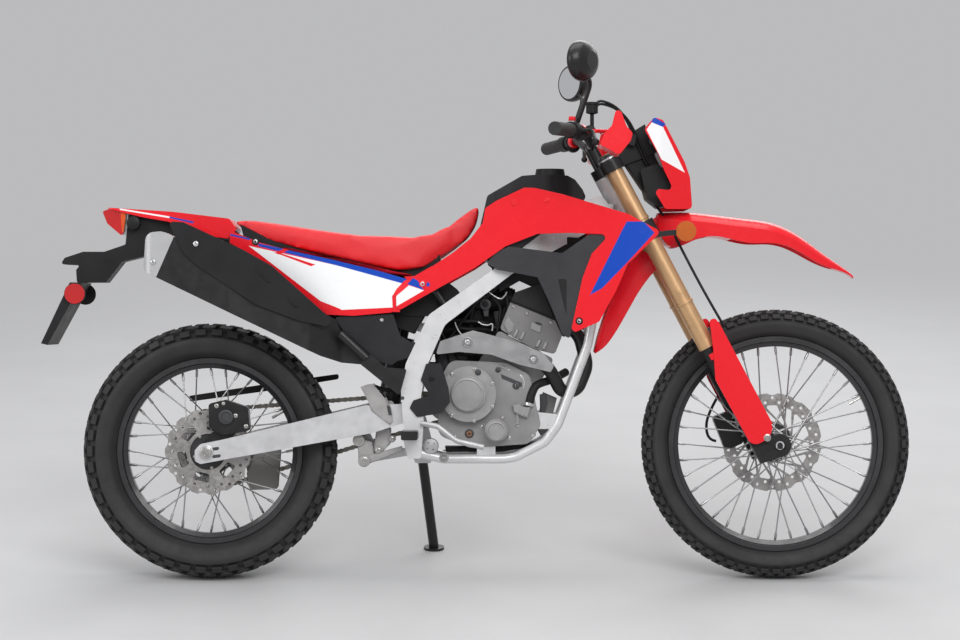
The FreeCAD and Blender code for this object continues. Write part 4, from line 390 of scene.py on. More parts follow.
def bolt(bm, place, direction, radius, height, washer=True):
    """A hexagon head on its washer."""
    r, h = radius, height
    if washer:
        spin(bm, place, direction, [(-0.5, r * 1.35), (1.2, r * 1.35), (1.6, r * 1.2)], 16)
    spin(bm, place, direction, [(0, r), (h * 0.8, r), (h, r * 0.86)], 6)


def screw(bm, place, direction, radius, height=3.0):
    """A domed head with a socket."""
    r, h = radius, height
    socket = [(h, r * 0.52), (h * 0.3, r * 0.48), (h * 0.3, 0.2)]
    spin(bm, place, direction, [(-0.5, r), (h * 0.5, r), (h * 0.85, r * 0.8), *socket], 12)


def knob(bm, place, direction, radius, height, hollow=0.0):
    """A plain turned boss, with a dished middle where hollow is given."""
    r, h = radius, height
    profile = [(-1.5, r), (h - 1.2, r), (h - 0.4, r - 0.5), (h, r - 1.4)]
    if hollow:
        profile += [(h, hollow + 0.8), (h - 0.8, hollow), (h - 2.2, hollow), (h - 2.2, 0.2)]
    spin(bm, place, direction, profile, 24)


def solid(bm, outline, direction, depth, bevel=0.0):
    """A plate: an outline pushed along a direction, its edges eased."""
    d = Vector(direction).normalized() * depth
    first = [bm.verts.new(p) for p in outline]
    last = [bm.verts.new(Vector(p) + d) for p in outline]
    faces = [bm.faces.new(first), bm.faces.new(last)]
    quads(bm, first, last, len(outline))
    if bevel:
        edges = list({e for f in faces for e in f.edges})
        bmesh.ops.bevel(bm, geom=edges, offset=bevel, segments=2, affect="EDGES", clamp_overlap=True)


def wire(name, points, radius, finish="black", body="frame"):
    """A hose or cable on one smooth line through places, some of them given as pixels and w."""
    data = bpy.data.curves.new(name, "CURVE")
    data.dimensions = "3D"
    line = data.splines.new("NURBS")
    line.points.add(len(points) - 1)
    for spot, p in zip(line.points, points):
        spot.co = (*(PARK @ (p if isinstance(p, Vector) else px(*p))), 1)
    line.order_u = 3
    line.use_endpoint_u = True
    line.use_cyclic_u = False
    data.resolution_u = 8
    data.bevel_depth = radius / 1000
    data.bevel_resolution = 3
    data.use_fill_caps = True
    data.materials.append(M[finish].mat)
    obj = add_object(name, data)
    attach(obj, body)


def smooth_line(points, steps):
    """Catmull-Rom through the points."""
    full = [points[0]] + list(points) + [points[-1]]
    line = []
    for k in range(1, len(full) - 2):
        p0, p1, p2, p3 = (Vector(q) for q in full[k - 1:k + 3])
        for j in range(steps):
            t = j / steps
            line.append(0.5 * (2 * p1 + (p2 - p0) * t + (2 * p0 - 5 * p1 + 4 * p2 - p3) * t * t
                               + (3 * p1 - p0 - 3 * p2 + p3) * t ** 3))
    line.append(Vector(points[-1]))
    return line


def lengths_along(line):
    """How far along a line each of its points lies."""
    lengths = [0.0]
    for a, b in zip(line, line[1:]):
        lengths.append(lengths[-1] + (b - a).length)
    return lengths


# Tyres: half a section as shares of width and of height over the rim, and the ribs on the walls as shares
TYRE_SHARES = ((0.42, 0.26), (0.50, 0.50), (0.485, 0.72), (0.40, 0.88), (0.25, 0.965), (0.09, 1.0))
RIB_SHARES = ((0.62, 0.66), (0.80, 0.84))
TYRE_TURNS, SECTION_STEPS = 144, 44
BLOCK_LEVELS = ((1.0, 0.8), (0.15, 1.7))


def tyre(name, body, axle, radius, width, rim, bead, depth, rows, pitches):
    """A trail tyre: carcass, ribs on its walls, and staggered blocks whose tops reach its full size."""
    half = [(width * a, rim + (radius - rim) * b) for a, b in TYRE_SHARES]
    ends = ((bead, rim + 9), (-bead, rim + 9))
    envelope = smooth_line([ends[0]] + half + [(-y, r) for y, r in reversed(half)] + [ends[1]], 5)
    normals = []
    for k in range(len(envelope)):
        run = (envelope[min(k + 1, len(envelope) - 1)] - envelope[max(k - 1, 0)]).normalized()
        normals.append(Vector((-run.y, run.x)))
    if normals[len(normals) // 2].y < 0:
        normals = [-n for n in normals]
    lengths = lengths_along(envelope)
    middle = lengths[-1] / 2

    def spot(lateral, drop):
        """A place on the section, a distance round from the crown's middle and in from the surface."""
        s = min(max(middle - lateral, 0.01), lengths[-1] - 0.01)
        k = next(i for i in range(1, len(lengths)) if lengths[i] >= s)
        t = (s - lengths[k - 1]) / (lengths[k] - lengths[k - 1])
        return envelope[k - 1].lerp(envelope[k], t) - normals[k - 1].lerp(normals[k], t) * drop

    shoulder = max(abs(row[0]) + row[1] / 2 for row in rows)
    section = [(bead - 2, rim + 1)]
    for k in range(SECTION_STEPS + 1):
        lateral = middle * (1 - 2 * k / SECTION_STEPS)
        over = (abs(lateral) - shoulder) / 10
        drop = depth if over < 0 else max(0.6, depth * (1 - over))
        if any(a < abs(lateral) / middle < b for a, b in RIB_SHARES):
            drop = 0.1
        section.append(tuple(spot(lateral, drop)))
    section.append((-bead + 2, rim + 1))
    bm = bmesh.new()
    lathe(bm, section, TYRE_TURNS, axle)
    for lateral, wide, long, shift, skew in rows:
        for k in range(pitches):
            centre = 2 * math.pi * (k + shift) / pitches
            loops = []
            for drop, ease in ((depth + 1, 0.0), *BLOCK_LEVELS):
                loop = []
                for u, v in ((-1, -1), (1, -1), (1, 1), (-1, 1)):
                    y, r = spot(lateral + u * (wide / 2 - ease), drop)
                    angle = centre + (v * (long / 2 - ease) + u * skew) / radius
                    loop.append(bm.verts.new(axle + Vector((r * math.cos(angle), y, r * math.sin(angle)))))
                loops.append(loop)
            for one, two in zip(loops, loops[1:]):
                quads(bm, one, two, 4)
            bm.faces.new(loops[-1])
    piece(name + "_tread", bm, "rubber", body, replaces=(name,), angle=28)


def block_rows(*halves):
    """Rows of tread blocks on both sides: (lateral, wide, long, shift, skew)."""
    return [(side * lateral, wide, long, shift, side * skew)
            for lateral, wide, long, shift, skew in halves for side in (1, -1)]


FRONT_RIM, REAR_RIM = 267, 229
FRONT_ROWS = block_rows((8.5, 14, 24, 0.0, 2), (27, 16, 23, 0.5, 2), (44, 15, 23, 0.0, 0))
REAR_ROWS = block_rows((11.5, 20, 32, 0.0, 2), (37, 21, 33, 0.5, 2), (62, 19, 30, 0.0, 0))
tyre("front_tyre", "front_wheel", AXLE_F, FRONT_RADIUS, width=84, rim=FRONT_RIM, bead=20.7, depth=9.0,
     rows=FRONT_ROWS, pitches=68)
tyre("rear_tyre", "rear_wheel", AXLE_R, REAR_RADIUS, width=122, rim=REAR_RIM, bead=28.7, depth=11.0,
     rows=REAR_ROWS, pitches=46)

# Wheels
SPOKES, SPOKE_RADIUS = 36, 1.8
SPOKE_HEAD = ((0, 3.4), (1.6, 3.2), (2.4, SPOKE_RADIUS))
FLANGE_EDGE, FLANGE_MIDDLE, HEAD_STAGGER = 5, 7.5, 2.6
RIM_DEPTH, NIPPLE_GAP, NIPPLE_SPREAD, NIPPLE_STAGGER = 17, 0.6, 5.8, 2.5
VALVE_TURN = math.radians(28)
VALVE_PROFILE = ((0, 3.8), (12, 3.8), (13, 2.8), (34, 2.8))


def wheel(name, axle, flange, width, rim, turn, profile):
    """A dark hub with crossed steel spokes, each with its nipple, and the tyre's valve."""
    body = name + "_wheel"
    bm = bmesh.new()
    lathe(bm, profile, 64, axle, closed=True)
    piece(name + "_hub_shell", bm, "hub", body, replaces=(name + "_hub",), angle=25)
    bm = bmesh.new()
    start_r, stop_r = flange - FLANGE_EDGE, rim - RIM_DEPTH - NIPPLE_GAP
    mid = width / 2 - FLANGE_MIDDLE
    for k in range(SPOKES):
        side = 1 if k % 2 == 0 else -1
        lead = 1 if k // 2 % 2 == 0 else -1
        a = 2 * math.pi * k / SPOKES
        b = a - lead * math.radians(turn)
        first, last = side * (mid + lead * HEAD_STAGGER), side * (NIPPLE_SPREAD + lead * NIPPLE_STAGGER)
        p = axle + Vector((start_r * math.cos(b), first, start_r * math.sin(b)))
        q = axle + Vector((stop_r * math.cos(a), last, stop_r * math.sin(a)))
        n = (q - p).length
        nipple = [(n - 20, 3.1), (n - 14, 3.4), (n - 3, 3.4), (n, 2.2)]
        spin(bm, p, q - p, [(-1, SPOKE_RADIUS), (n - 20, SPOKE_RADIUS), *nipple], 8)
        out = Vector((0, side * lead, 0))
        spin(bm, p + out * 1.5, out, SPOKE_HEAD, 8)
    piece(name + "_spokes", bm, "spoke", body, angle=40)
    bm = bmesh.new()
    d = Vector((math.cos(VALVE_TURN), 0, math.sin(VALVE_TURN)))
    spin(bm, axle + d * (rim - 50), d, VALVE_PROFILE, 10)
    piece(name + "_valve", bm, "bolt", body)


def hub_profile(radius, flange, half, bore, left_face, right_face):
    """A hub's section with two flanges, as (left, radius) pairs."""
    def side(face):
        if face is None:
            end = [(half, bore), (half, radius * 0.7)]
        else:
            end = [(face, bore), (face, 50), (face - 5, 50), (face - 5, radius), (half - 5, radius)]
        return end + [(half - 5, flange - 1), (half - 6, flange), (half - 9, flange), (half - 10, flange - 1),
                      (half - 14, radius + 1), (half - 20, radius - 2)]
    return side(left_face) + [(-y, r) for y, r in reversed(side(right_face))]


FRONT_FLANGE, REAR_FLANGE = 34, 62
FRONT_HUB = hub_profile(24, FRONT_FLANGE, half=59, bore=11.05, left_face=61.7, right_face=None)
REAR_HUB = hub_profile(34, REAR_FLANGE, half=67, bore=10.05, left_face=75.2, right_face=73.7)
wheel("front", AXLE_F, FRONT_FLANGE, width=118, rim=FRONT_RIM, turn=62, profile=FRONT_HUB)
wheel("rear", AXLE_R, REAR_FLANGE, width=134, rim=REAR_RIM, turn=48, profile=REAR_HUB)

# The chain
CHAIN_PITCH, CHAIN_LEFT = 15.875, 79
REAR_TEETH, FRONT_TEETH = 40, 14
# Outer and inner plates: distance from the chain's middle, and radius of their ends
PLATES, PLATE_THICK, PLATE_WAIST = ((6.2, 7.0), (4.4, 6.6)), 1.7, 4.6
# Pins and rollers: radius, half length and sides
PINS_AND_ROLLERS = ((2.4, 8.8, 8), (4.9, 4.2, 10))
HEAD_REACH, HEAD_HEIGHT = 1047.883, 975.0
FRONT_SPROCKET = Vector((HEAD_REACH * 0.573, 0, HEAD_HEIGHT * 0.451))


def chain_line():
    """The pitch line round both sprockets, in the plane of the chain."""
    big, small = (CHAIN_PITCH / (2 * math.sin(math.pi / teeth)) for teeth in (REAR_TEETH, FRONT_TEETH))
    dx, dz = FRONT_SPROCKET.x - AXLE_R.x, FRONT_SPROCKET.z - AXLE_R.z
    slope = math.atan2(dz, dx)
    spread = math.acos((big - small) / math.hypot(dx, dz))
    line = []
    for k in range(61):
        t = spread + (2 * math.pi - 2 * spread) * k / 60 + slope
        line.append(Vector((AXLE_R.x + big * math.cos(t), AXLE_R.z + big * math.sin(t))))
    for k in range(25):
        t = slope - spread + 2 * spread * k / 24
        line.append(Vector((FRONT_SPROCKET.x + small * math.cos(t), FRONT_SPROCKET.z + small * math.sin(t))))
    return line + [line[0]]


def chain():
    """Links round both sprockets: outer and inner plates by turns, with pins and rollers."""
    line = chain_line()
    lengths = lengths_along(line)
    count = 2 * round(lengths[-1] / CHAIN_PITCH / 2)
    pins = []
    k = 1
    for j in range(count):
        s = lengths[-1] * j / count
        while lengths[k] < s:
            k += 1
        pins.append(line[k - 1].lerp(line[k], (s - lengths[k - 1]) / (lengths[k] - lengths[k - 1])))
    bm = bmesh.new()
    for j, p in enumerate(pins):
        q = pins[(j + 1) % count]
        run = (q - p).normalized()
        up = Vector((-run.y, run.x))
        inner, radius = PLATES[j % 2]
        for side in (-1, 1):
            shape = []
            for centre, first in ((p, 180), (q, 0)):
                for degrees in (-60, -20, 20, 60):
                    t = math.radians(degrees + first)
                    shape.append(centre + (run * math.cos(t) + up * math.sin(t)) * radius)
            shape.insert(4, (p + q) / 2 - up * PLATE_WAIST)
            shape.append((p + q) / 2 + up * PLATE_WAIST)
            y = CHAIN_LEFT + side * inner
            solid(bm, [Vector((c.x, y, c.y)) for c in shape], (0, side, 0), PLATE_THICK)
        for radius, half, sides in PINS_AND_ROLLERS:
            spin(bm, (p.x, CHAIN_LEFT - half, p.y), LEFT, [(0, radius), (2 * half, radius)], sides)
    piece("chain_links", bm, "chain", "frame", replaces=("drive_chain",), angle=30)


chain()

# The seat's cover, with lengths in metres
SEAT_VOXEL, SEAT_SHRINK, SEAT_RISE = 0.006, 0.002, 0.003
SEAT_PRESSURE, SEAT_STRETCH, SEAT_BEND, SEAT_FRAMES = 1.2, 18, 3, 10


def changed(obj, kind, **values):
    """Adds a modifier and applies it."""
    mod = obj.modifiers.new(kind, kind)
    for key, value in values.items():
        setattr(mod, key, value)
    settle(obj)


def settle(obj):
    """The object's mesh becomes what its modifiers make of it now."""
    graph = bpy.context.evaluated_depsgraph_get()
    new = bpy.data.meshes.new_from_object(obj.evaluated_get(graph))
    obj.modifiers.clear()
    obj.data = new


def seat_cover():
    """A padded cover: the seat's form, remeshed, blown up a little as cloth, and smoothed."""
    data = nodes["seat"].data.copy()
    data.materials.clear()
    obj = add_object("seat_cover", data)
    bpy.context.view_layer.objects.active = obj
    changed(obj, "REMESH", mode="VOXEL", voxel_size=SEAT_VOXEL)
    changed(obj, "SMOOTH", iterations=2, factor=0.5)
    for v in obj.data.vertices:
        v.co -= v.normal * SEAT_SHRINK
    before = [v.co.copy() for v in obj.data.vertices]
    mod = obj.modifiers.new("cloth", "CLOTH")
    mod.settings.quality = 4
    mod.settings.use_pressure = True
    mod.settings.uniform_pressure_force = SEAT_PRESSURE
    mod.settings.tension_stiffness = SEAT_STRETCH
    mod.settings.bending_stiffness = SEAT_BEND
    mod.settings.effector_weights.gravity = 0
    mod.point_cache.frame_end = SEAT_FRAMES
    for number in range(1, SEAT_FRAMES + 1):
        bpy.context.scene.frame_set(number)
    settle(obj)
    bpy.context.scene.frame_set(1)
    for v, start in zip(obj.data.vertices, before):
        move = v.co - start
        if move.length > SEAT_RISE:
            v.co = start + move.normalized() * SEAT_RISE
    changed(obj, "SMOOTH", iterations=4, factor=0.5)
    changed(obj, "SUBSURF", levels=1, render_levels=1)
    obj.data.shade_smooth()
    obj.data.materials.append(M["seat"].mat)
    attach(obj, "frame")
    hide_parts("seat")


seat_cover()

# Finding places on the solids
TREES = {}
EYE = Vector((LOOK_X, -AWAY, LOOK_Z))
SEARCH_PIXELS = (0, 1.5, 3, 4.5, 6, 8)


def home_of(name):
    """The matrix from a solid's own coordinates to places on the upright machine."""
    return UPRIGHT @ nodes[name].matrix_world


def tree_of(name):
    if name not in TREES:
        data = nodes[name].data
        home = home_of(name)
        TREES[name] = BVHTree.FromPolygons([home @ v.co for v in data.vertices],
                                           [tuple(p.vertices) for p in data.polygons])
    return TREES[name]


def cast(x, y, names, left=False):
    """Where the sight line through a pixel, or through its mirror image, meets the named solids."""
    flip = FLIP if left else Vector((1, 1, 1))
    eye = EYE * flip
    for reach in SEARCH_PIXELS:
        for k in range(8 if reach else 1):
            turn = math.pi * k / 4
            run = (px(x + reach * math.cos(turn), y + reach * math.sin(turn)) * flip - eye).normalized()
            best = None
            for name in names.split():
                place, normal, _, far = tree_of(name).ray_cast(eye, run)
                if place is not None and (best is None or far < best[2]):
                    best = (place, normal if normal.dot(run) < 0 else -normal, far)
            if best is not None:
                return best[:2]
    raise ValueError("no solid at %s, %s" % (x, y))


def face(x, y, names):
    """How far right of the middle the named solids lie at a pixel."""
    return -cast(x, y, names)[0].y


# Pieces made of many small parts: each group becomes one piece at the end
GROUPS = {}


def group(name, finish, body="frame"):
    key = (name, finish, body)
    if key not in GROUPS:
        GROUPS[key] = bmesh.new()
    return GROUPS[key]


def seats(kind, name, finish, names, spots, body="frame", left=False, both=False, **values):
    """Puts one kind of fastener on the named solids at each (x, y, radius)."""
    for x, y, radius in spots:
        place, normal = cast(x, y, names, left)
        kind(group(name, finish, body), place, normal, radius, **values)
        if both:
            kind(group(name, finish, body), place * FLIP, normal * FLIP, radius, **values)


def ring(x, y, radius, count, first, size):
    """Spots round a circle of pixels."""
    turns = [math.radians(first + 360 * k / count) for k in range(count)]
    return [(x + radius * math.cos(t), y + radius * math.sin(t), size) for t in turns]


def plates(name, finish, outline, thick, bevel=0.0, body="frame", both=True):
    """A plate that goes in from its outline, and its mirror image where both is true."""
    solid(group(name, finish, body), outline, LEFT, thick, bevel)
    if both:
        solid(group(name, finish, body), [p * FLIP for p in outline], (0, -1, 0), thick, bevel)


def drum(name, finish, place, profile, count=28, direction=LEFT, body="frame", cap=True):
    """A turned piece from the place at (x, y, w)."""
    spin(group(name, finish, body), px(*place), direction, profile, count, cap)


# Fasteners and bosses: kind, piece, finish, solids, (x, y, radius) in pixels and millimetres, other values
CASE, HEAD, SHIELD = "crankcase engine_covers", "cylinder_head", "header_shield"
FRAME = "main_frame frame_cradle frame_guards"
PIVOT = FRAME + " swingarm"
PANELS = "side_covers fuel_tank frame_guards rear_fender seat tank_shrouds radiator_covers"
PIPE = "silencer_guard silencer"
FOOT = "front_axle fork_legs front_hub"
HEAD_BOLTS = ((513.5, 306.5, 4.5), (551, 322.5, 4.5), (527, 313.6, 4.5))
SEATED = (
    (screw, "engine_bolts", "bolt", CASE, ring(468.5, 395, 26.6, 7, -128, 5.2)[:6], {}),
    (screw, "engine_bolts", "bolt", CASE, ((502.4, 418.3, 5.5), (481.3, 426.8, 5.5), (509.4, 438, 5.5),
                                           (517.4, 425, 6), (455, 437, 5), (533, 436, 5)), {}),
    (knob, "engine_bosses", "cover", CASE, ((496.2, 431, 25),), {"height": 5.0, "hollow": 20.0}),
    (knob, "engine_bosses", "cover", CASE, ((467.3, 394.7, 42),), {"height": 2.6, "hollow": 37.0}),
    (knob, "engine_plug_ring", "dark_case", CASE, ((469.3, 433.6, 11.5), (516.2, 385.7, 9.5), (478, 372.3, 8),
                                                   (498, 369.8, 7)), {"height": 3.0}),
    (screw, "engine_plug", "copper", CASE, ((469.3, 433.6, 7.5),), {"height": 6.0}),
    (screw, "engine_bolts", "bolt", CASE, ((516.2, 385.7, 5),), {"height": 6.5}),
    (screw, "engine_bolts", "bolt", CASE, ((524, 415.3, 5),), {"height": 14}),
    (screw, "engine_bolts", "bolt", HEAD, HEAD_BOLTS, {}),
    (knob, "shield_rings", "shield", SHIELD, ((467.5, 342, 13.5), (533.3, 359.2, 12)),
     {"height": 2.2, "hollow": 10.0}),
    (screw, "engine_bolts", "rivet", SHIELD, ((467.5, 342, 7.5), (533.3, 359.2, 7)), {"height": 4.5}),
    (knob, "frame_rings", "casting", PIVOT, ((444, 457.6, 12),), {"both": True, "height": 2.0}),
    (screw, "frame_bolts", "casting", PIVOT, ((444, 457.6, 8.5),), {"both": True, "height": 6}),
    (screw, "guard_screws", "black", FRAME, ((431.3, 378.4, 8),), {"both": True, "height": 3.5}),
    (knob, "guard_marks", "dark_case", FRAME, ((402.5, 398, 5),), {"both": True, "height": 0.8}),
    (knob, "cover_rings", "red", PANELS, ((422.5, 284, 8.5),), {"both": True, "height": 1.4}),
    (screw, "cover_screws", "rivet", PANELS, ((422.5, 284, 6),), {"both": True, "height": 4}),
    (knob, "cover_black_rings", "black", PANELS, ((255.5, 238.6, 9.5), (579.2, 321.1, 9.5)),
     {"both": True, "height": 1.2}),
    (screw, "cover_screws", "rivet", PANELS, ((255.5, 238.6, 6), (579.2, 321.1, 5.5), (381.8, 319.9, 5)),
     {"both": True, "height": 3.4}),
    (knob, "cover_plugs", "red", PANELS, ((547, 200.5, 6.5),), {"both": True, "height": 1.2}),
    (screw, "tail_bolts", "rivet", "rear_fender " + PIPE, ((156.3, 224.8, 7),), {"height": 3.5}),
    (screw, "tail_bolts", "rivet", PIPE, ((195.8, 243.8, 7),), {"height": 3.5}),
    (screw, "tail_bolts", "rivet", "silencer", ((153, 262.1, 7),), {"height": 3.5}),
    (knob, "guard_rings", "black", PIPE, ((195.8, 243.8, 9.5),), {"height": 1.0}),
    (knob, "pivot_bosses", "frame", PIVOT, ((389.8, 400.6, 10),), {"both": True, "height": 5, "hollow": 5}),
    (knob, "front_axle_cap", "black", FOOT, ((779.3, 447.9, 22),),
     {"body": "fork", "height": 9, "hollow": 13}),
    (knob, "front_axle_ring", "rivet", FOOT, ((779.3, 447.9, 11),),
     {"body": "fork", "height": 11, "hollow": 6.5}),
    (bolt, "fork_foot_bolts", "bolt", "fork_legs fork_guards", ((767.4, 437.8, 7),),
     {"body": "fork", "both": True, "height": 6}),
    (screw, "rear_caliper_bolts", "bolt", "rear_caliper",
     ((246.2, 426.3, 6), (235.5, 415.6, 6), (216.6, 405.8, 6), (223.5, 403.5, 5)), {}),
    (knob, "rear_caliper_piston", "dark_case", "rear_caliper", ((226, 417, 19),),
     {"height": 6, "hollow": 12}),
    (bolt, "carrier_bolts", "bolt", "front_disc front_hub", ring(779.0, 443.3, 15.4, 6, 15, 4.6),
     {"body": "front_wheel", "height": 3.5, "washer": False}),
    (bolt, "carrier_bolts", "bolt", "rear_disc rear_hub", ring(211.0, 450.3, 17.5, 5, 15, 4.6),
     {"body": "rear_wheel", "height": 3.5, "washer": False}),
    (bolt, "carrier_bolts", "bolt", "rear_sprocket rear_hub", ring(211.0, 450.3, 22.5, 6, 15, 4.6),
     {"body": "rear_wheel", "left": True, "height": 3.5, "washer": False}),
    (screw, "engine_bolts", "bolt", CASE, ring(468.5, 395, 23.6, 7, -120, 5.2)
     + [(490, 372, 5.2), (512, 384, 5.2), (520, 412, 5.2), (500, 436, 5.2), (470, 434, 5.2)], {"left": True}),
    (knob, "engine_bosses", "cover", CASE, ((468.5, 395, 32),), {"left": True, "height": 2.4, "hollow": 27}),
    (screw, "engine_plug", "copper", CASE, ((478, 424, 8),), {"left": True, "height": 3}),
    (screw, "engine_bolts", "bolt", HEAD, HEAD_BOLTS, {"left": True}),
    (screw, "hand_guard_bolts", "rivet", "hand_guards", ((594.6, 143.1, 6),),
     {"body": "fork", "both": True, "height": 3}),
    (knob, "cowl_grommets", "black", "headlight_cowl", ((644, 147, 9),),
     {"body": "fork", "both": True, "height": 1.5, "hollow": 5}),
)
for *row, values in SEATED:
    seats(*row, **values)

# Flat pieces: name, finish, w of the outer face, thickness, bevel and outline in pixels
ELBOW = face(525, 408, CASE)
BOSS = face(536.5, 326.5, HEAD)
LINK = 62
SLABS = (
    # The case's recess: a dark plate on the face, painted shade in the hollow
    ("case_recess", "dark_case", face(511, 380, CASE) + 0.8, 3, 1,
     ((500.3, 373.4), (522.2, 382.6), (522.2, 387.6), (501.5, 378.8))),
    ("water_elbow", "cover", ELBOW + 13, 14, 2,
     ((512.6, 405), (520, 404), (522.5, 407.4), (530.8, 407.4), (527.5, 418), (522.4, 416.6), (514, 412))),
    ("water_elbow", "cover", ELBOW + 5, 6, 1.5, ((515.5, 412), (519, 412), (519.6, 425), (515.8, 425))),
    ("head_boss", "cover", BOSS + 3, 5, 1, ((531.5, 322), (541.5, 326), (540, 333), (530.5, 329.5))),
    ("head_mark", "dark_case", BOSS + 4, 3, 1,
     ((535.8, 321.6), (541.8, 323.9), (541.4, 325.4), (535.6, 323))),
    ("head_facet", "cover", face(510, 322, HEAD) + 4, 6, 2,
     ((503, 324), (508, 315.6), (514.6, 325), (513, 331.5), (508.4, 334.5))),
    ("regulator", "dark_case", 44, 60, 2,
     ((540, 395), (546.5, 393.5), (547.5, 403), (544.5, 414), (540.5, 413))),
    ("regulator", "black", 60, 110, 2, ((518.6, 433), (536, 426), (535.5, 436), (528, 441.5), (519, 444))),
    ("under_plate", "black", 46, 92, 1.5,
     ((445, 447), (500, 447.5), (540, 441.5), (540, 445), (502, 452), (446, 452))),
    ("throttle_sensor", "dark_case", 50, 18, 1, ((482.6, 308), (489, 308), (488.4, 316.5), (484, 316.5))),
    # Dark plates behind the loom: painted shade that fills the gaps deep inside the machine
    ("loom_back", "black", -24, 20, 3,
     ((438, 346), (446, 318), (470, 300), (490, 288), (513, 288), (508, 310), (503, 346))),
    ("loom_back", "black", 10, 30, 3,
     ((434, 350), (490, 352), (497, 362), (494, 374), (444, 374), (436, 366))),
    ("horn", "head", 12, 16, 2, ((543, 392), (557, 398), (549, 430), (541, 436), (536, 428))),
    ("coil", "black", 20, 40, 3, ((468, 309), (480, 306), (484, 322), (472, 326))),
    ("coil", "dark_case", 8, 36, 3, ((493, 308), (505, 300), (508, 318), (497, 330))),
    ("valve_block", "dark_case", 30, 60, 3, ((452, 336), (466, 333), (467, 345), (453, 348))),
    ("seat_pan", "black", 84, 168, 2,
     ((240, 224), (262, 236), (340, 252), (400, 264), (425, 262), (440, 252), (440, 266), (425, 282),
      (400, 284), (340, 270), (266, 250), (244, 238))),
    ("guard_slots", "black", 0.7 + face(258, 273.5, PIPE), 2.5, 0.3,
     ((246.7, 262.2), (258, 270.5), (269.9, 282.1), (268, 282.3), (255, 271.5))),
    ("guard_slots", "black", 0.7 + face(288, 300, PIPE), 2.5, 0.3,
     ((276.5, 287.9), (288, 297), (298.1, 306.9), (296, 307), (284, 297.5))),
    ("link_arms", "casting", LINK + 10, 24, 2.5,
     ((357.3, 438), (372, 442), (374.5, 456), (369.3, 461), (358.5, 461))),
    ("link_arms", "casting", LINK, 30, 3,
     ((376.5, 428), (391, 428), (391, 443), (384.5, 448), (380, 456), (372.5, 456))),
    ("link_arms", "casting", LINK + 14, 12, 2, ((364, 456.5), (402, 446), (403, 451), (366, 465))),
    ("brake_cylinder", "casting", 104, 26, 4,
     ((360.3, 387), (366, 385), (374.3, 383.6), (375.2, 389), (386, 397), (391.5, 409), (393.3, 422),
      (390, 426), (383.6, 420), (371.5, 411.5), (366.9, 399))),
    ("brake_cylinder", "dark_case", 105, 4, 1, ((386.6, 405), (390, 406.5), (391.8, 415), (388.6, 415.6))),
)
# The same on both sides
PAIRED_SLABS = (
    ("inner_panel", "black", 64, 8,
     ((322, 304), (400, 304), (434, 286), (428, 310), (414, 334), (398, 328), (396, 322), (330, 322))),
    ("inner_panel", "black", 58, 10,
     ((492, 268), (518, 245), (556, 236), (582, 238), (577, 262), (562, 300), (545, 292), (520, 280),
      (500, 292))),
    ("cover_window", "black", 1.0 + face(565, 300, "radiator_covers"), 3,
     ((558.5, 279), (572.5, 279), (570, 316.5), (566.4, 316.5))),
)
# Thin pieces that follow the faces of solids, on both sides: piece, solids, lift, thickness and outline
COVERS = "side_covers"
SKINS = (
    ("cover_lip", COVERS, -2.2, 4.0,
     ((259, 240.4), (293, 248.8), (321, 255), (362, 263.8), (396, 271.6), (412, 274.6), (408, 283),
      (362, 270.4), (321, 260.6), (262, 247.4))),
    ("cover_lip", "tank_shrouds " + COVERS, -1.0, 5,
     ((404, 276.6), (414.5, 276), (424, 270.5), (432, 266), (432, 274), (414, 288))),
    ("cover_joint", COVERS + " tank_shrouds", -2.6, 5,
     ((402, 281), (410, 279.5), (412, 283), (399, 296), (400, 312), (390, 312), (390.5, 293))),
)
LAMP_STAY = ((632, 132), (645, 124), (650, 140), (655, 156), (671, 189), (652, 188), (661, 208), (650, 200),
             (640, 186), (621, 158), (630, 147))
for name, color, w, thick, bevel, corners in SLABS:
    plates(name, color, [px(x, y, w) for x, y in corners], thick, bevel, both=False)
for name, color, w, thick, corners in PAIRED_SLABS:
    plates(name, color, [px(x, y, w) for x, y in corners], thick, 1.0)
for name, names, lift, thick, corners in SKINS:
    plates(name, "red", [px(x, y, lift + face(x, y, names)) for x, y in corners], thick)
plates("lamp_stay", "black", [px(x, y, 36) for x, y in LAMP_STAY], 72, 4, "fork", False)

# Turned pieces: name, finish, (x, y, w), profile and count
DRUMS = (
    ("starter", "dark_case", (447, 362, 52), ((0, 20), (2, 26), (78, 26), (82, 20)), 32),
    ("starter", "dark_case", (461, 358, 40), ((0, 14), (2, 17), (58, 17), (60, 12)), 24),
    ("throttle_sensor", "dark_case", (485.4, 304.4, 56),
     ((0, 9), (1, 14), (6, 15), (40, 15), (60, 20), (84, 20)), 28),
    ("throttle_sensor_cap", "black", (485.4, 304.4, 57), ((0, 4), (1, 8.5), (3, 9)), 20),
    ("tail_pod", "black", (133, 223, 62), ((0, 12), (2, 17), (10, 18), (46, 18)), 24),
    ("pedal_pivot", "alloy", (430.7, 446.2, 98), ((0, 14), (2, 19), (10, 20), (26, 20)), 28),
)
for row in DRUMS:
    drum(*row)
drum("pedal_pivot", "alloy", (410.3, 435.2, 104), ((0, 6), (0, 12.5), (3, 14), (22, 14)), cap=False)
drum("fluid_pot", "black", (592, 132, 196),
     ((0, 5), (44, 5), (46, 12), (47, 15), (68, 15), (68.4, 17), (74, 17), (75, 15)), direction=(0, 0, 1),
     body="fork")
HOSE_END, HOSE_RUN = (528.6, 406, ELBOW + 4), (531.5, 394, ELBOW + 2)
drum("hose_clamps", "rivet", HOSE_END, ((0, 11.5), (0.5, 12.3), (7.5, 12.3), (8, 11.5)), 24,
     px(*HOSE_RUN) - px(*HOSE_END))
LINK_BOSSES = ((358.7, 440.4, 15.5, 16), (364.1, 461.1, 15.5, 20), (378.4, 450.3, 9.5, 16), (392, 439, 9, 6))
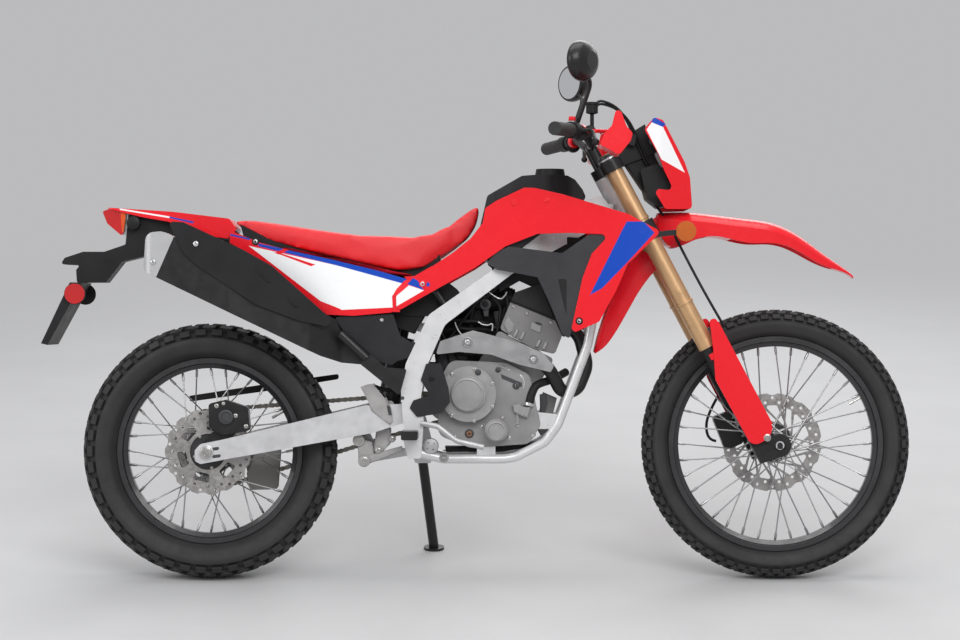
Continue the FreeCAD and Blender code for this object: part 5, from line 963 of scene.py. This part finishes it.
for x, y, r, out in LINK_BOSSES:
    drum("link_bosses", "casting", (x, y, LINK + out), ((0, r - 1.5), (1.5, r), (34, r)))
    bolt(group("link_bolts", "bolt"), px(x, y, LINK + out), (0, -1, 0), r * 0.5, height=4)
PEDAL_MARKS, MARK_REACH = 4, 4.2
for k in range(PEDAL_MARKS):
    turn = math.pi * (0.3 + k / 2)
    spot = (430.7 + MARK_REACH * math.cos(turn), 446.2 + MARK_REACH * math.sin(turn), 99)
    drum("pedal_marks", "dark_case", spot, ((0, 1.6), (3, 2.4)), 10)

# Bolt towers on the head, along the cylinder
TOWERS = ((516, 333), (522.4, 335.6), (538.6, 343), (545.2, 345.6))
TOWER_PROFILE = ((0, 5.6), (17, 5.6), (19, 4.6), (22, 3.2))
axis = (px(511.4, 302) - px(500, 329)).normalized()
for x, y in TOWERS:
    place = cast(x, y, HEAD + " " + SHIELD)[0] + Vector((0, 1, 0))
    spin(group("head_towers", "cover"), place - axis * 11, axis, TOWER_PROFILE, 14)

# Hoses, cables and wires: the places are (x, y, w)
CAM = face(530, 300, HEAD)
wire("case_pipe", [cast(500.5, 366.2, CASE)[0] + Vector((0, -4, 0)), (510, 370, 78), (520, 374.2, 80),
                   (524.8, 380.8, 80), (523.5, 388, 80), (521.8, 400, 78)], 2.4, "rivet")
wire("water_hose", [(529.3, 404.5, ELBOW + 4), (530, 400, ELBOW + 4), (532.4, 391.5, ELBOW + 2),
                    (536, 385, ELBOW - 4), (544, 382, ELBOW - 16), (553, 379.5, ELBOW - 30), (566, 372, 10)],
     10.8)
wire("cam_rim", [(510.8, 301.2, CAM + 1), (530, 308.8, CAM + 1), (556.8, 320.4, CAM + 1)], 3.0)
wire("brake_cylinder_hose", [(374, 386, 92), (381, 389, 90), (392, 391, 86), (402, 386, 60)], 5)
wire("front_brake_hose", [(718, 396, -92), (709, 412, -96), (705.5, 427, -96), (709, 440, -90),
                          (716, 441, -84)], 3.6, body="fork")
wire("brake_line", [(655, 204, 40), (668, 222, 44), (683, 252, 84), (702, 288, 92), (718, 316, 92),
                    (724, 326, 90)], 3.4, body="fork")
for k, (start, drop) in enumerate(((196, 0.0), (188, 3.0))):
    line = [(592, 108 + drop, start), (597, 101.5 + drop, start - 8), (603, 100.6 + drop, start - 30),
            (617, 106.9 + drop * 0.6, 120), (626.5 + drop * 0.6, 119.5, 80), (633 + drop, 134.5, 60),
            (640 + drop, 150, 50), (650 + drop, 172, 44), (655 + drop, 190, 36)]
    wire("bar_cable_%d" % k, line, 3.4, body="fork")
# The loom behind the engine: pixels, w and radius; every second place lies further out
LOOM_WEAVE = 6
LOOM = (
    ((442, 318), (462, 322), (481, 321), (498, 330), (507, 322), (509, 305), (505, 291), 40, 5.5),
    ((437, 335), (452, 327), (470, 330), (488, 329), (503, 335), (515, 330), 30, 6.5),
    ((486, 286), (494, 300), (501, 306), (499, 322), (495, 345), 46, 4.2),
    ((476, 292), (474, 305), (470, 322), (473, 345), (480, 362), 22, 7.0),
    ((498, 286), (490, 296), (478, 300), (468, 315), (455, 330), (443, 350), 52, 3.4),
    ((505, 288), (513, 292), (508, 303), (502, 316), (500, 335), 12, 8.0),
    ((446, 345), (452, 352), (466, 356), (484, 353), (498, 360), 50, 3.6),
    ((440, 330), (447, 341), (446, 356), (452, 368), 54, 3.2),
    ((460, 300), (466, 310), (480, 312), (495, 305), (503, 296), -10, 9.0),
    ((444, 312), (456, 306), (468, 296), (481, 287), 34, 5.0),
)
LOOM_CLIPS = (
    ((489, 292), (495, 297), (503, 300), (507, 292)),
    ((478, 322), (486, 327), (494, 322), (492, 331)),
    ((455, 322), (457, 331), (463, 336)),
)
for k, (*line, w, radius) in enumerate(LOOM):
    wire("loom_%02d" % k, [(x, y, w + LOOM_WEAVE * (j % 2)) for j, (x, y) in enumerate(line)], radius)
for k, line in enumerate(LOOM_CLIPS):
    wire("loom_clip_%d" % k, [(x, y, 58) for x, y in line], 2.2, "rivet")

# The rear axle's nuts and washers, and dark plates that paint the shade inside the slots of its adjusters
ADJUSTERS, SLOT_HALF, SLOT_RADIUS = ((219.5, 446.6), (221.2, 453.8)), 2.4, 1.7
for side in (-1, 1):
    y_face = cast(213, 455, "swingarm", side > 0)[0].y
    end = Vector((0, y_face, REAR_RADIUS))
    knob(group("rear_axle_nuts", "bolt"), end, (0, side, 0), 15, 8, 6)
    spin(group("rear_axle_washers", "rivet"), end, (0, side, 0), [(-1, 19), (2, 19), (2.6, 17)], 28)
    for x, y in ADJUSTERS:
        outline = []
        for k in range(12):
            turn = 2 * math.pi * k / 12
            shift = SLOT_HALF if math.cos(turn) > 0 else -SLOT_HALF
            p = px(x + shift + SLOT_RADIUS * math.cos(turn), y - shift * 0.2 + SLOT_RADIUS * math.sin(turn))
            outline.append(Vector((p.x, y_face + side * 0.6, p.z)))
        # Each slot is a dark plate on the arm's face: painted shade in the opening
        solid(group("axle_slots", "dark_case"), outline, (0, -side, 0), 2)


# The cockpit: caps, rings and bands on the fork's tubes, and the bar's housings
def fork_tops():
    """The middle of each fork tube's top, in the fork's own directions."""
    to_fork = FORK.inverted() @ home_of("fork_tubes")
    tube = [to_fork @ v.co for v in nodes["fork_tubes"].data.vertices]
    for side in (1, -1):
        own = [v for v in tube if v.y * side > 0]
        middle = [(min(v[i] for v in own) + max(v[i] for v in own)) / 2 for i in (0, 1)]
        yield (*middle, max(v.z for v in own))


# Rings on each tube: piece, finish, start from the tube's top, and profile
FORK_RINGS = (
    ("fork_caps", "steel", -34, ((0, 23.4), (1, 26), (26, 26), (32, 24), (35, 21), (35.6, 12))),
    ("fork_rings", "rivet", -14, ((0, 26.1), (0.4, 26.8), (4, 26.8), (4.4, 26.1))),
    ("fork_bands", "gold", -190, ((0, 23.2), (1, 24.4), (7, 24.4), (8, 23.2))),
    ("fork_bands", "gold", -430, ((0, 23.4), (1, 24.6), (7, 24.6), (8, 23.4))),
)
up = (FORK.to_3x3() @ Vector((0, 0, 1))).normalized()
for ahead, aside, top in fork_tops():
    for name, color, low, profile in FORK_RINGS:
        spin(group(name, color, "fork"), FORK @ Vector((ahead, aside, top + low)), up, profile, 36)
BAR_HOUSINGS = ((580, 133, 250, 19, 34), (590, 131, 205, 15, 26))
for side in (1, -1):
    for x, y, w, r, long in BAR_HOUSINGS:
        p = px(x, y, w)
        spin(group("bar_housings", "black", "fork"), Vector((p.x, p.y * side, p.z)), (0, side, 0),
             [(0, r - 3), (2, r), (long - 2, r), (long, r - 3)], 20)
SWITCH = px(572, 118.5, 245)
SWITCH_CORNERS = ((-9, 0, -5), (9, 0, -5), (8, 0, 5), (-7, 0, 6))
solid(group("bar_switch", "red", "fork"), [SWITCH + Vector(v) for v in SWITCH_CORNERS], LEFT, 14, 1.5)

# The front fender's rear flap: places on its roof and on its rim, and its half width
FLAP = (((641, 250), (668, 262), 56), ((629, 262), (654, 272), 56), ((619, 280), (640, 290), 54),
        ((610, 300), (629, 309), 50), ((602.5, 321), (617, 330), 44), ((597, 338), (606, 345.5), 34),
        ((593.5, 351.5), (595.5, 353.5), 22))
FLAP_WALL = 3.0


def fender_flap():
    """A channel that narrows to a point between the shrouds."""
    bm = group("front_fender_flap", "red", "fork")
    roof = smooth_line([px(*a, w) for a, b, w in FLAP], 4)
    rim = smooth_line([px(*b, w) for a, b, w in FLAP], 4)
    rings = []
    for top, low in zip(roof, rim):
        half = -top.y
        section = [(0.0, half), (0.7, half), (0.93, 0.9 * half), (1.0, 0.7 * half)]
        section += [(a, -b) for a, b in reversed(section)]
        rise = 1 - FLAP_WALL / (top - low).length
        narrow = 1 - FLAP_WALL / half
        section += [(a * rise, b * narrow) for a, b in reversed(section)]
        rings.append([bm.verts.new(Vector((*low.lerp(top, a).xz, b)).xzy) for a, b in section])
    for one, two in zip(rings, rings[1:]):
        quads(bm, one, two, len(one))
    bm.faces.new(rings[0])
    bm.faces.new(rings[-1])


def mirror_glasses():
    """A plate over each mirror head's flat back."""
    data = nodes["mirrors"].data
    home = home_of("mirrors")
    turned = home.to_3x3()
    for side in (1, -1):
        flats = {}
        for polygon in data.polygons:
            n = (turned @ polygon.normal).normalized()
            if (home @ polygon.center).y * side > 0 and n.x < -0.5:
                flats.setdefault(tuple(round(c, 2) for c in n), []).append(polygon)
        faces = max(flats.values(), key=lambda flat: sum(f.area for f in flat))
        n = (turned @ faces[0].normal).normalized()
        spots = [home @ data.vertices[i].co for i in {i for f in faces for i in f.vertices}]
        middle = sum(spots, Vector()) / len(spots)
        _, u, v = axes_for(n)
        rim = sorted(spots, key=lambda q: math.atan2((q - middle).dot(v), (q - middle).dot(u)))
        outline = [middle + (q - middle) * 0.9 + n * 0.8 for q in rim]
        solid(group("mirror_glass", "mirror", "fork"), outline, -n, 1.6)


def lamp_bowl():
    """Bright ribs between the lamp's lens and its housing."""
    data = nodes["headlight"].data
    home = home_of("headlight")
    facing = max(data.polygons, key=lambda f: f.area if (home.to_3x3() @ f.normal).x > 0 else 0)
    n = (home.to_3x3() @ facing.normal).normalized()
    lens = [home @ v.co for v in data.vertices]
    back = min(p.dot(n) for p in lens)
    behind = [p for p in lens if p.dot(n) < back + 1.0]
    middle = sum(behind, Vector()) / len(behind)
    _, u, v = axes_for(n)
    wide, tall = (max(abs((p - middle).dot(direction)) for p in behind) for direction in (u, v))
    for k in range(-3, 4):
        rib = [middle + u * (wide * (k * 0.27 + e)) + v * (tall * f) - n * 0.6
               for e, f in ((-0.12, -0.86), (0.12, -0.86), (0.12, 0.86), (-0.12, 0.86))]
        solid(group("lamp_bowl", "rivet", "fork"), rib, n, 0.5)


def reflector_backs():
    """A shallow black cup behind each rear reflector."""
    home = home_of("rear_reflectors")
    places = [home @ v.co for v in nodes["rear_reflectors"].data.vertices]
    for side in (1, -1):
        own = [p for p in places if p.y * side > 0]
        mid = Vector([(min(p[i] for p in own) + max(p[i] for p in own)) / 2 for i in range(3)])
        wide = (max(p.x for p in own) - min(p.x for p in own)) / 2
        near = min(p.y * side for p in own)
        spin(group("reflector_backs", "black"), Vector((mid.x, (near - 1.2) * side, mid.z)), (0, side, 0),
             [(0, wide - 2), (1, wide + 1.6), (5, wide + 1.6), (5.4, wide)], 36)


fender_flap()
mirror_glasses()
lamp_bowl()
reflector_backs()
for (name, color, body), bm in GROUPS.items():
    piece(name + "_" + color, bm, color, body)

# The floor fades into the backdrop some way off, so that no horizon shows
FADE_START, FADE_STOP, FLOOR_SIZE = 1.7, 5.5, 14
bm = bmesh.new()
bmesh.ops.create_grid(bm, x_segments=8, y_segments=8, size=FLOOR_SIZE)
data = bpy.data.meshes.new("floor")
bm.to_mesh(data)
bm.free()
floor = add_object("floor", data)
FLOOR_DARK, FLOOR_LIGHT = (0.50, 0.50, 0.505, 1), (0.53, 0.53, 0.535, 1)
s = Shader("floor_pale")
s.put(s.bsdf.inputs["Base Color"], s.mix(s.remap(s.noise(3), 0, 1), FLOOR_DARK, FLOOR_LIGHT))
s.bsdf.inputs["Roughness"].default_value = 0.8
away = s.add("ShaderNodeVectorMath", operation="LENGTH")
s.put(away.inputs[0], s.coord)
edge = s.fill(s.add("ShaderNodeMapRange", interpolation_type="SMOOTHERSTEP"), away.outputs["Value"],
              FADE_START, FADE_STOP, 0.0, 1.0)
clear = s.add("ShaderNodeBsdfTransparent").outputs[0]
s.put(s.out.inputs[0], s.fill(s.add("ShaderNodeMixShader"), edge, s.bsdf.outputs[0], clear))
data.materials.append(s.mat)

# The world: soft light, and a grey backdrop for what the camera, a gloss or a glass sees
SKY, SKY_POWER = (0.86, 0.87, 0.89, 1), 0.48
BACKDROP, BACKDROP_POWER = (0.50, 0.50, 0.51, 1), 1.0
world = bpy.data.worlds.new("studio")
bpy.context.scene.world = world
world.use_nodes = True
tree = world.node_tree
back = tree.nodes["Background"]
back.inputs[0].default_value, back.inputs[1].default_value = SKY, SKY_POWER
bright = tree.nodes.new("ShaderNodeBackground")
bright.inputs[0].default_value, bright.inputs[1].default_value = BACKDROP, BACKDROP_POWER
path = tree.nodes.new("ShaderNodeLightPath")
choose = tree.nodes.new("ShaderNodeMixShader")
seen = path.outputs["Is Camera Ray"]
for ray in ("Is Glossy Ray", "Is Transmission Ray"):
    more = tree.nodes.new("ShaderNodeMath")
    more.operation = "MAXIMUM"
    tree.links.new(seen, more.inputs[0])
    tree.links.new(path.outputs[ray], more.inputs[1])
    seen = more.outputs[0]
for socket, value in zip(choose.inputs, (seen, back.outputs[0], bright.outputs[0])):
    tree.links.new(value, socket)
tree.links.new(choose.outputs[0], tree.nodes["World Output"].inputs[0])


def look_at(obj, place, target):
    obj.location = place
    obj.rotation_mode = "QUATERNION"
    obj.rotation_quaternion = (Vector(target) - Vector(place)).to_track_quat("-Z", "Y")


# Lamps, in metres and watts
LAMP_TARGET = (0, 0, 0.6)
LAMPS = (
    ("key", (1.2, -4.2, 4.2), (4.0, 2.5), 185),
    ("fill", (-4.0, -2.5, 2.6), (3.0, 2.5), 74),
    ("top", (0.0, 0.6, 4.6), (4.5, 2.5), 100),
    ("rear", (1.5, 4.5, 3.0), (4.0, 2.5), 95),
)
for name, place, size, power in LAMPS:
    data = bpy.data.lights.new(name, "AREA")
    data.shape = "RECTANGLE"
    data.size, data.size_y = size
    data.energy = power
    look_at(add_object(name, data), place, LAMP_TARGET)

# The camera stands square to the leaning machine, as the photograph's stands to the upright one
LENS, SENSOR, FARTHEST = 101.72, 36, 100
data = bpy.data.cameras.new("camera")
data.lens, data.sensor_width, data.clip_end = LENS, SENSOR, FARTHEST
camera = add_object("camera", data)
bpy.context.scene.camera = camera
target = PARK @ Vector((LOOK_X, 0, LOOK_Z))
look_at(camera, target + (PARK.to_3x3() @ Vector((0, -AWAY, 0))), target)
bpy.context.scene.view_settings.view_transform = "Standard"
